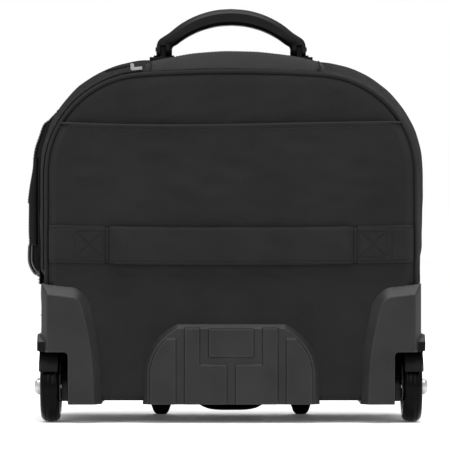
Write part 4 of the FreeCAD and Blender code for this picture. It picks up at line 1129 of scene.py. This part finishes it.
def make_carry_handle():
    """Stiff bow on two pivots: its legs fork round the brackets' lugs, with a washer each side of a lug."""
    y = sum(span("carry_handle", 1)) / 2
    reach = span("carry_handle", 1)[1] - y
    low, top = span("carry_handle", 2)
    pivot = low + CARRY_EYE_R
    crown_under = top - 18.5
    lug_low, lug_high = 74.3, 81.2

    def on_arc(half, crown, x):
        rise = crown - pivot
        radius = (rise ** 2 + half ** 2) / (2 * rise)
        return crown - radius + math.sqrt(radius ** 2 - x ** 2)

    outer_leg = [(-85.6, pivot), (-84.8, pivot + 6), (-82.6, pivot + 10.4), (-78.6, pivot + 13.6)]
    inner_leg = [(-67.6, pivot), (-66.4, pivot + 3)]
    outer = smooth_curve(outer_leg + [(-x, on_arc(87.0, top, x)) for x in (71, 58, 44, 30, 15, 0)])
    inner = smooth_curve(inner_leg + [(-x, on_arc(68.5, crown_under, x)) for x in (62, 54, 44, 32, 16, 0)])
    section = soft_polygon([(1.0, -0.62), (1.0, 0.62), (0.42, 1.0), (-0.62, 1.0), (-1.0, 0.66), (-1.0, -0.66),
                            (-0.62, -1.0), (0.42, -1.0)], 0.09)
    rows = []
    for drop in np.linspace(math.pi / 2, 0.12, 8):
        lowered = (0, -CARRY_EYE_R * math.sin(drop))
        wide = max(CARRY_EYE_R * math.cos(drop), 0.5)
        rows.append(section_ring(outer[0] + lowered, inner[0] + lowered, y, wide, section))
    for a, b in zip(outer, inner):
        wide = CARRY_EYE_R + (reach - CARRY_EYE_R) * float(smooth_step(a[1], pivot + 4, pivot + 24))
        rows.append(section_ring(a, b, y, wide, section))
    half = np.array(rows)
    rows = np.concatenate([half, half[:-1][::-1] * (-1, 1, 1)])
    handle = piece("carry_handle_bow", rows, bar_faces(len(rows), len(section)), "carry_handle", "handle")
    for side, _ in SIDES:
        for deep, rise in ((7.2, 7.4), (20, 4.5)):
            cut_box(handle, (side * lug_low, y - deep, low - 2), (side * lug_high, y + deep, pivot + rise))
    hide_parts("carry_handle")

    # nylon washers each side of the lugs, and a rubber lip along the front of each bracket's plate
    turn = np.arange(48) * 2 * math.pi / 48
    bore, rim, thick = 2.4, 7.6, 0.48
    step, radius = np.array([(0.0, bore), (0.0, rim), (thick, rim), (thick, bore)]).T[:, :, None]
    for side, label in SIDES:
        lip = stack(side * np.linspace(65.5, 89.0, 12), y + 11.8, low + 0.4)
        ribbon(f"carry_handle_lip_{label}", lip, 4.0, 2.4, "case", "rubber", (0, 1, 0))
        for place, face_x in (("inner", lug_low + 0.02), ("outer", lug_high - 0.5)):
            rows = stack(side * (face_x + step), y + radius * np.cos(turn), pivot + radius * np.sin(turn))
            piece(f"carry_handle_washer_{label}_{place}", rows, grid_faces(4, len(turn), True, True), "case",
                  "black")


def smooth_curve(points):
    """Catmull-Rom curve through the points, as 60 evenly spaced ones."""
    points = np.array(points, float)
    padded = np.vstack([2 * points[0] - points[1], points, 2 * points[-1] - points[-2]])
    made = []
    for i in range(1, len(padded) - 2):
        p0, p1, p2, p3 = padded[i - 1:i + 3]
        for t in np.linspace(0, 1, 16, endpoint=False):
            made.append(0.5 * (2 * p1 + (p2 - p0) * t + (2 * p0 - 5 * p1 + 4 * p2 - p3) * t * t
                               + (3 * p1 - p0 - 3 * p2 + p3) * t ** 3))
    made = np.array(made + [points[-1]])
    along = lengths(made)
    at = np.linspace(0, along[-1], 60)
    return stack(*(np.interp(at, along, column) for column in made.T))


def make_side_handle():
    """Ribbed grip sewn to the left side by two webbing ends, bowed out so that fingers reach behind it."""
    y0, y1 = span("side_handle_grip", 1)
    middle_y, width = (y0 + y1) / 2, y1 - y0
    low, high = span("side_handle_grip", 2)
    outer_x, inner_x = span("side_handle_grip", 0)
    body_x = -gusset_arch(middle_y)[0]

    def wall_at(heights, out):
        return np.array([(wall_x(middle_y, z) + out, z) for z in heights])

    # outer line of the grip, from its top to its lower end; the sleeve ends in a small step half way down
    step_z = (low + high) / 2 - 1.0
    outer = smooth_curve([(outer_x + 6.8, high), (outer_x + 6.0, high - 12), (outer_x + 2.6, high - 32),
                          (outer_x + 0.4, step_z + 1), (outer_x + 1.5, step_z - 3), (outer_x + 1.3, low + 18),
                          (outer_x + 2.2, low)])
    inner = stack(inner_x + 0.3, outer[:, 1])
    along = lengths(outer)
    rib = 0.38 * np.sin(along * 2 * math.pi / 3.4) * smooth_step(np.minimum(along, along[-1] - along), 2, 8)
    outer[:, 0] -= rib - 0.38
    grip = loft_bar("side_handle_grip_sleeve", outer, inner, middle_y, width / 2 - 0.6, "side_handle",
                    "handle")
    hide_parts("side_handle_grip")

    # padded backing sewn to the case behind the grip
    wall = wall_at(np.linspace(low - 14, high + 16, 60), 0.8)
    proud = 4.6 * np.sqrt(np.clip(1 - np.abs(np.linspace(-1, 1, 60)) ** 6, 0.02, 1))
    loft_bar("side_handle_backing", wall - stack(proud, 0.0), wall, middle_y, width / 2 + 1.0, "case", "tape")

    # wedges of folded webbing between the case and the grip
    upper = smooth_curve([(body_x + 17.5, 352.0), (body_x + 9.4, 343.0), (body_x + 3.8, 338.6),
                          (body_x - 1.6, 324.0), (body_x - 6.2, 310.0), (outer_x + 8.2, high - 6.0)])
    lower = smooth_curve([(body_x - 0.4, low - 31.0), (body_x - 4.4, low - 33.0), (body_x - 8.6, low - 29.6),
                          (body_x - 13.0, low - 18.0), (outer_x + 4.0, low + 6.0)])
    for label, line, sewn_z, free_z in (("upper", upper, 345.0, high), ("lower", lower, low - 30.0, low)):
        wall = wall_at(line[:, 1], 1.2)
        share = smooth_step(np.linspace(0, 1, len(line)), 0.86, 1.0)
        back = wall.copy()
        back[:, 0] = wall[:, 0] * (1 - share) + (inner_x - 0.6) * share
        back[:, 0] = np.maximum(back[:, 0], line[:, 0] + 2.0)
        fill = loft_bar(f"side_handle_{label}_fold", line + (0.9, 0), back, middle_y, width / 2 - 2.2, "case",
                        "webbing")
        path = stack(line[:, 0], middle_y, line[:, 1])
        lift = np.cross(frames_along(path), (0, 1.0, 0))
        lift *= np.where(lift[:, :1] > 0, -1.0, 1.0)
        strip = ribbon(f"side_handle_{label}_webbing", path + lift * 0.2, width - 3.0, 1.7, "case",
                       "gloss_webbing", lift)
        pieces = [fill, strip]
        # two glossy cords along the loop, coloured lighter than the webbing as painted highlight
        if label == "lower":
            for place, inset in (("outer", 0.9), ("inner", -2.6)):
                edge_shadow = (path + lift * inset + (0, -width / 2 + 1.2, 0))[2:-8]
                pieces.append(sweep(f"side_handle_loop_{place}_edge", edge_shadow, circle(1.3), "case", "glossy_highlight_cord"))
        for offset, place in ((-1, "rear"), (1, "front")):
            row = (path + lift * 1.05 + (0, offset * (width / 2 - 4.2), 0))[4:-4]
            name = f"side_handle_{label}_stitches_{place}"
            pieces.append(stitches(name, [row], lift[len(lift) // 2], "case"))
        start = to_frame((wall[0, 0], middle_y, sewn_z))
        end = to_frame((outer_x + 6.0, middle_y, free_z))
        for obj in pieces:
            bend(obj)
        if label == "upper":
            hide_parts("side_handle_anchors")

    # sewn-down patches that hold the webbing
    for label, z in (("upper", 347.0), ("lower", low - 36.0)):
        x, height = wall_at(np.linspace(z - 9, z + 9, 12), -0.9).T
        patch = stack(x, middle_y, height)
        ribbon(f"side_handle_{label}_patch", patch, width + 6, 1.6, "case", "side", (-1, 0, 0.2))
        rows = [patch + (-1.2, inset * (width / 2 + 1.0), 0) for inset in (-1, 1)]
        stitches(f"side_handle_{label}_patch_stitches", rows, (-1, 0, 0), "case")


# ---------------------------------------------------------------- lid, its pocket and the zips
def make_lid():
    arch, rim = FRONT_ARCH, grow(FRONT_ARCH, -0.4)
    front_y, bottom_z = LID_Y[1], LID_Z[0]
    x = np.unique(np.round(spaced(arch_line(rim, arch[2] - 1.0), 3.2)[:, 0], 3))
    rows = 110
    floor_z = bottom_z + 0.3
    z = floor_z + (arch_height(rim, x) - floor_z)[:, None] * np.linspace(0, 1, rows)
    across = np.repeat(x[:, None], rows, axis=1)
    depth = np.minimum(arch_depth(arch, across, z), z - bottom_z)
    # round shoulder from the zip to the front face
    shoulder = np.clip((depth - 0.35) / 11.0, 0, 1)
    y = LID_Y[0] + 0.4 + (front_y - LID_Y[0]) * np.sqrt(np.clip(1 - (1 - shoulder) ** 2, 0, 1))
    faces = grid_faces(len(x), rows)
    weave = stack(across, z)
    lid = piece("front_lid_cloth", stack(across, y, z), faces, "lid", "fabric", weave)
    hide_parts("front_lid")
    swell(lid, np.flatnonzero((depth < 2.0).ravel()), pressure=2.2, limit=4.5)

    # cloth drawn in along the yoke seam and the row of sewing inside the piping
    yoke_z = bottom_z + 0.735 * (LID_Z[1] - bottom_z)
    yoke_x = np.linspace(-190, 190, 70)
    yoke = stack(yoke_x, yoke_z + 8.0 * (1 - (yoke_x / 190.0) ** 2))
    ring = arch_path(grow(arch, -17.0), front_y, bottom_z + 14, STITCH_PITCH)[:, [0, 2]]
    from_ring = np.abs(arch_depth(arch, across, z) - 17.0)
    seam = 1.3 * groove(across, z, [yoke], 1.6) + 0.7 * np.exp(-(from_ring / 1.4) ** 2)
    shift(lid, stack(0.0, -seam, 0.0))
    face = surface_of(lid, len(x), rows)

    def laid(line, proud):
        return np.array([(px, face(px, pz) + proud, pz) for px, pz in line])

    stitches("front_lid_stitches", [laid(ring, 0.3), laid(yoke - (0, 3.4), 0.3)], (0, 1, 0), "lid")
    sweep("front_lid_yoke_piping", laid(yoke, 1.0), circle(1.5), "lid", "piping", (0, 1, 0))

    inset = np.minimum(arch_depth(grow(arch, -3.2), across, z), z - bottom_z - 1.0)
    lining_y = LID_Y[0] + 3.0 + 5.0 * smooth_step(inset, 3, 16) + 0.5 * ripples(across, z, (90, 60), seed=61)
    lining_z = bottom_z + 2 + (z - bottom_z) * (1 - 5.0 / 350)
    points = stack(across * (1 - 3.2 / arch[0]), lining_y, lining_z)
    piece("front_lid_lining", points, faces, "lid", "lining", weave)

    # piping round the lid's shoulder
    path = arch_path(grow(arch, -6.0), front_y - 1.4, bottom_z + 7, 3.0)
    sweep("front_lid_piping", path, circle(2.1, 12), "lid", "piping")


def swell(obj, held, pressure, limit):
    """Cloth simulation: the piece swells between its sewn edges, no further than a limit in mm."""
    frames = 18
    scene = bpy.context.scene
    group = obj.vertex_groups.new(name="held")
    group.add([int(k) for k in held], 1.0, "REPLACE")
    rest = np.array([v.co for v in obj.data.vertices])
    cloth = obj.modifiers.new("cloth", "CLOTH")
    settings = cloth.settings
    settings.quality = 6
    settings.mass = 0.25
    settings.tension_stiffness = settings.compression_stiffness = 12.0
    settings.shear_stiffness = 6.0
    settings.bending_stiffness = 1.2
    settings.vertex_group_mass = "held"
    settings.use_pressure = True
    settings.uniform_pressure_force = pressure
    settings.effector_weights.gravity = 0.0
    cloth.collision_settings.use_collision = False
    cloth.point_cache.frame_start, cloth.point_cache.frame_end = 1, frames
    for number in range(1, frames + 1):
        scene.frame_set(number)
    shown = obj.evaluated_get(bpy.context.evaluated_depsgraph_get())
    moved = np.array([v.co for v in shown.to_mesh().vertices]) - rest
    shown.to_mesh_clear()
    obj.modifiers.clear()
    scene.frame_set(1)
    size = np.linalg.norm(moved, axis=1, keepdims=True)
    moved *= np.minimum(1.0, limit * MM / np.maximum(size, 1e-9))
    shift(obj, moved / MM)
    obj.vertex_groups.clear()


def make_front_pocket():
    left, right = span("front_pocket", 0)
    low, high = span("front_pocket", 2)
    back, front = span("front_pocket", 1)
    x = np.linspace(left, right, 116)
    z = np.linspace(low, high, 62)
    across, up = np.meshgrid(x, z, indexing="ij")
    # rounded lower corners
    corner = 16.0
    over_x = np.maximum(np.maximum(left + corner - across, across - right + corner), 0)
    over_z = np.maximum(low + corner - up, 0)
    inset = np.where((over_x > 0) & (over_z > 0), corner - np.hypot(over_x, over_z),
                     np.minimum(np.minimum(across - left, right - across), up - low))
    top = high - up
    edge_shadow = np.sqrt(np.clip(1 - (1 - np.clip(inset / 9.0, 0, 1)) ** 2, 0, 1))
    y = back + 0.4 + (front - back - 0.6) * edge_shadow - 2.6 * (1 - smooth_step(top, 0, 6)) - 3.0 * (inset < 0)
    pocket = piece("front_pocket_cloth", stack(across, y, up), grid_faces(len(x), len(z)), "lid", "fabric",
                   stack(across, up))
    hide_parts("front_pocket")
    swell(pocket, np.flatnonzero(((inset < 1.5) | (top < 16)).ravel()), pressure=2.0, limit=3.0)

    face = surface_of(pocket, len(x), len(z))
    quarter = np.linspace(0.15, math.pi / 2, 7)
    rows = []
    for gap in (11.0, 14.0):
        radius = corner - gap / 2
        turn = stack(left + gap + radius * (1 - np.cos(quarter)), low + gap + radius * (1 - np.sin(quarter)))
        line = np.vstack([(left + gap, high - 4), (left + gap, low + gap + radius), turn])
        line = spaced(np.vstack([line, line[::-1] * (-1, 1) + (left + right, 0)]), STITCH_PITCH)
        rows.append(np.array([(px, face(px, pz) + 0.3, pz) for px, pz in line]))
    stitches("front_pocket_stitches", rows, (0, 1, 0), "lid")

    # rain flap over the pocket's zip, and cloth garages at its ends
    line = stack(np.linspace(left + 3, right - 3, 90), front - 0.2, POCKET_ZIP_Z + 6.0)
    ribbon("front_pocket_flap", line, 7.0, 1.6, "lid", "hem", (0, 1, 0.25))
    stitches("front_pocket_flap_stitches", [line + (0, 1.1, 1.6)], (0, 1, 0), "lid")
    for end, label in ((left + 5, "left"), (right - 5, "right")):
        tab = stack((end - 4.0, end, end + 4.0), (front + 0.2, front + 0.9, front + 0.2), POCKET_ZIP_Z)
        ribbon(f"front_pocket_garage_{label}", tab, 12.0, 1.5, "lid", "hem", (0, 1, 0))


TOOTH_PITCH, TOOTH_HALF_WIDTH, TOOTH_HALF_HEIGHT = 1.7, 1.35, 0.55
TOOTH_FACES = grid_faces(4, 4, False, True) + [(3, 2, 1, 0), (12, 13, 14, 15)]


def make_zip(name, line, away, body):
    """Row of coil teeth along a line; away gives the direction out of the surface at a point."""
    line = spaced(np.array(line, float), TOOTH_PITCH)
    tangent = frames_along(line)
    ups = np.array([away(p) for p in line], float)
    points, faces = [], []
    for p, ahead, up, side in zip(line, tangent, ups, np.cross(tangent, ups)):
        base = len(points)
        for end, size in ((-0.5, 0.75), (-0.2, 1.0), (0.2, 1.0), (0.5, 0.75)):
            middle = p + ahead * end * TOOTH_PITCH * 0.8 + up * 0.3
            for a, b in ((-1, -1), (1, -1), (1, 1), (-1, 1)):
                points.append(middle + (side * a * TOOTH_HALF_WIDTH + up * b * TOOTH_HALF_HEIGHT) * size)
        faces += [tuple(base + k for k in face) for face in TOOTH_FACES]
    piece(name, points, faces, body, "coil")


def make_zips():
    """Tapes, rows of teeth, sliders and pullers of the main, rear and pocket zips."""
    for node, body, tag in (("main_zip_tape", "case", 1), ("lid_zip_tape", "lid", -1)):
        low, high = span(node, 1)
        y = (low + high) / 2
        path = arch_path(grow(FRONT_ARCH, -0.5), y, LID_Z[0] + 3, 3.0)
        away = all_outward(path)
        path[:, 1] -= 0.5 * tag
        tape = ribbon(f"{node}_strip", path, high - low + 1.0, 1.6, body, "tape", away)
        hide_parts(node)
        track = arch_path(grow(FRONT_ARCH, 0.6), y + tag * 0.9, LID_Z[0] + 6, 3.0)
        make_zip(f"{node}_teeth", track, outward, body)
    low, high = span("rear_zip_tape", 1)
    y = (low + high) / 2
    path = arch_path(grow(gusset_arch(y), 0.9), y, span("rear_zip_tape", 2)[0], 3.0)
    path = path[path[:, 0] < span("rear_zip_tape", 0)[1]]
    away = all_outward(path)
    tape = ribbon("rear_zip_tape_strip", path, high - low, 1.4, "case", "tape", away)
    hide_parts("rear_zip_tape")
    make_zip("rear_zip_teeth", path + away * 0.9, outward, "case")

    left, right = span("front_pocket", 0)
    line = stack(np.linspace(left + 6, right - 6, 60), span("front_pocket", 1)[1] - 0.6, POCKET_ZIP_Z)
    ribbon("pocket_zip_tape_strip", line, 13.0, 1.4, "lid", "tape", (0, 1, 0))
    make_zip("pocket_zip_teeth", line + (0, 0.9, 0), lambda _: (0, 1, 0), "lid")
    for track in ("rear", "main", "pocket"):
        finished(f"{track}_zip_slider", "zip", 0.6)
        finished(f"{track}_zip_puller", "cord", 0.6)


def padded_sheet(node, name, y_back, y_front, top, half, seed, low):
    """Padded cloth that stands inside the case, bound along its top and cut to the case's outline."""
    middle, reach = (y_back + y_front) / 2, (y_front - y_back) / 2
    x = np.linspace(-half, half, 90)
    ceiling = np.minimum(top, arch_height(grow(gusset_arch(middle), -8.0), x))
    rows = 70
    across = np.repeat(x[:, None], rows, axis=1)
    up = low + (ceiling - low)[:, None] * np.linspace(0, 1, rows)
    inset = np.minimum(np.minimum(across + half, half - across), ceiling[:, None] - up)
    skin = smooth_step(inset, 0, 7)
    wave = 0.5 * ripples(across, up, (120, 80), seed=seed)
    thick, bent = reach * (0.15 + 0.85 * skin), middle + wave * skin
    front, rear = stack(across, bent + thick, up), stack(across, bent - thick, up)
    count = up.size
    faces = grid_faces(len(x), rows)
    faces += [tuple(count + k for k in face[::-1]) for face in faces]
    index = np.arange(count).reshape(up.shape)
    rim = np.concatenate([index[::-1, 0], index[0, 1:], index[1:, -1], index[-1, -2:0:-1]]).tolist()
    faces += [(a, b, count + b, count + a) for a, b in zip(rim, rim[1:] + rim[:1])]
    flat = stack(across, up)
    obj = piece(name, np.concatenate([front, rear]), faces, "case", "lining",
                np.concatenate([flat, flat]))
    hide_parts(node)
    edge_shadow = stack(x, middle, ceiling - 0.6)[1:-1]
    ribbon(f"{name}_binding", edge_shadow, 2 * reach + 2.4, 3.0, "case", "webbing", (0, 0, 1))
    stitches(f"{name}_stitches", [edge_shadow + (0, reach + 0.3, -7.0)], (0, 1, 0), "case")


def make_interior():
    """Cloth pieces that show when the lid is open."""
    # lining laid over the base board, from wall to wall and round the wheel wells
    ys = np.linspace(BACK_Y + 8.0, GUSSET_Y[1] + 2.0, 61)
    reach = np.array([gusset_arch(y)[0] - 2.0 for y in ys])
    across = reach[:, None] * np.linspace(-1, 1, 81)
    low, high = span("laptop_sleeve", 2)

    def over_well(i, j):
        return ys[i] < WELL_FRONT_Y and abs(across[i, j] + across[i, j + 1]) / 2 > WELL_X - 4

    faces = grid_faces(*across.shape, skip=over_well)
    piece("base_lining", stack(across, ys[:, None], low + 0.4), faces, "case", "lining",
          stack(across, ys[:, None]))

    y0, y1 = span("trolley_cover_panel", 1)
    bottom, top = span("trolley_cover_panel", 2)
    padded_sheet("trolley_cover_panel", "trolley_cover_cloth", y0, y1, top, 178.0, 71, bottom)
    y0, y1 = span("file_divider", 1)
    bottom, top = span("file_divider", 2)
    padded_sheet("file_divider", "file_divider_cloth", y0 - 0.4, y1 + 0.6, top, 195.0, 73, bottom)

    y0, y1 = span("laptop_sleeve", 1)
    half = span("laptop_sleeve", 0)[1]
    padded_sheet("laptop_sleeve", "laptop_sleeve_front", y1 - 4.0, y1, high, half - 1, 75, low)
    for side, label in SIDES:
        line = stack(side * (half - 1.5), y0 + 1.0, np.linspace(max(low, WELL_ROOF_Z + 2), high - 2, 40))
        ribbon(f"laptop_sleeve_side_{label}", line, 3.0, 2.0, "case", "lining", (side, 0, 0))


# ---------------------------------------------------------------- room, light and camera
def make_room():
    bpy.ops.mesh.primitive_plane_add(size=60.0, location=(0, 0, 0))
    floor = bpy.context.object
    floor.name = "studio_floor"
    s = Shader("studio_floor", Roughness=0.6, Specular_IOR_Level=0.2, Emission_Color=grey(1.0),
               Emission_Strength=0.04)
    floor.data.materials.append(s.finish(s.mix(s.noise(s.place(), 3.0), grey(0.955), grey(0.97))))

    world = bpy.data.worlds.new("studio")
    bpy.context.scene.world = world
    world.use_nodes = True
    world.node_tree.nodes["Background"].inputs[0].default_value = (1, 1, 1, 1)
    world.node_tree.nodes["Background"].inputs[1].default_value = 1.0

    def softbox(name, place, aim, size, watts):
        light = bpy.data.lights.new(name, "AREA")
        light.shape, light.energy = "RECTANGLE", watts
        light.size, light.size_y = size
        obj = show(name, light)
        obj.location = place
        obj.rotation_mode = "QUATERNION"
        obj.rotation_quaternion = (Vector(aim) - Vector(place)).to_track_quat("-Z", "Y")

    softbox("top_softbox", (0.0, -0.5, 2.1), (0, -0.05, 0.2), (1.8, 1.2), 44.0)
    softbox("key_softbox", (-1.5, -2.4, 1.5), (0, 0, 0.25), (0.7, 1.1), 18.0)
    softbox("fill_softbox", (1.8, -2.1, 1.1), (0, 0, 0.2), (0.7, 1.1), 10.0)
    softbox("front_softbox", (0.5, 2.6, 1.6), (0, 0, 0.2), (1.2, 1.2), 26.0)

    camera = bpy.data.cameras.new("camera")
    eye = show("camera", camera)
    field, distance = 0.5067, 3.5
    eye.location = (-0.0003, BACK_Y * MM - distance, 0.200)
    eye.rotation_euler = (math.pi / 2, 0, 0)
    camera.sensor_width = 36.0
    camera.lens = 36.0 * distance / field
    camera.shift_y = 0.0446
    camera.clip_end = 50.0
    bpy.context.scene.camera = eye
    bpy.context.scene.view_settings.view_transform = "Standard"


pocket_surface = make_back()
make_strap(pocket_surface)
make_piping()
make_gusset()
make_underside()
make_hood()
make_plastics()
make_wheels()
make_carry_handle()
make_side_handle()
make_lid()
make_front_pocket()
make_zips()
make_interior()
make_room()
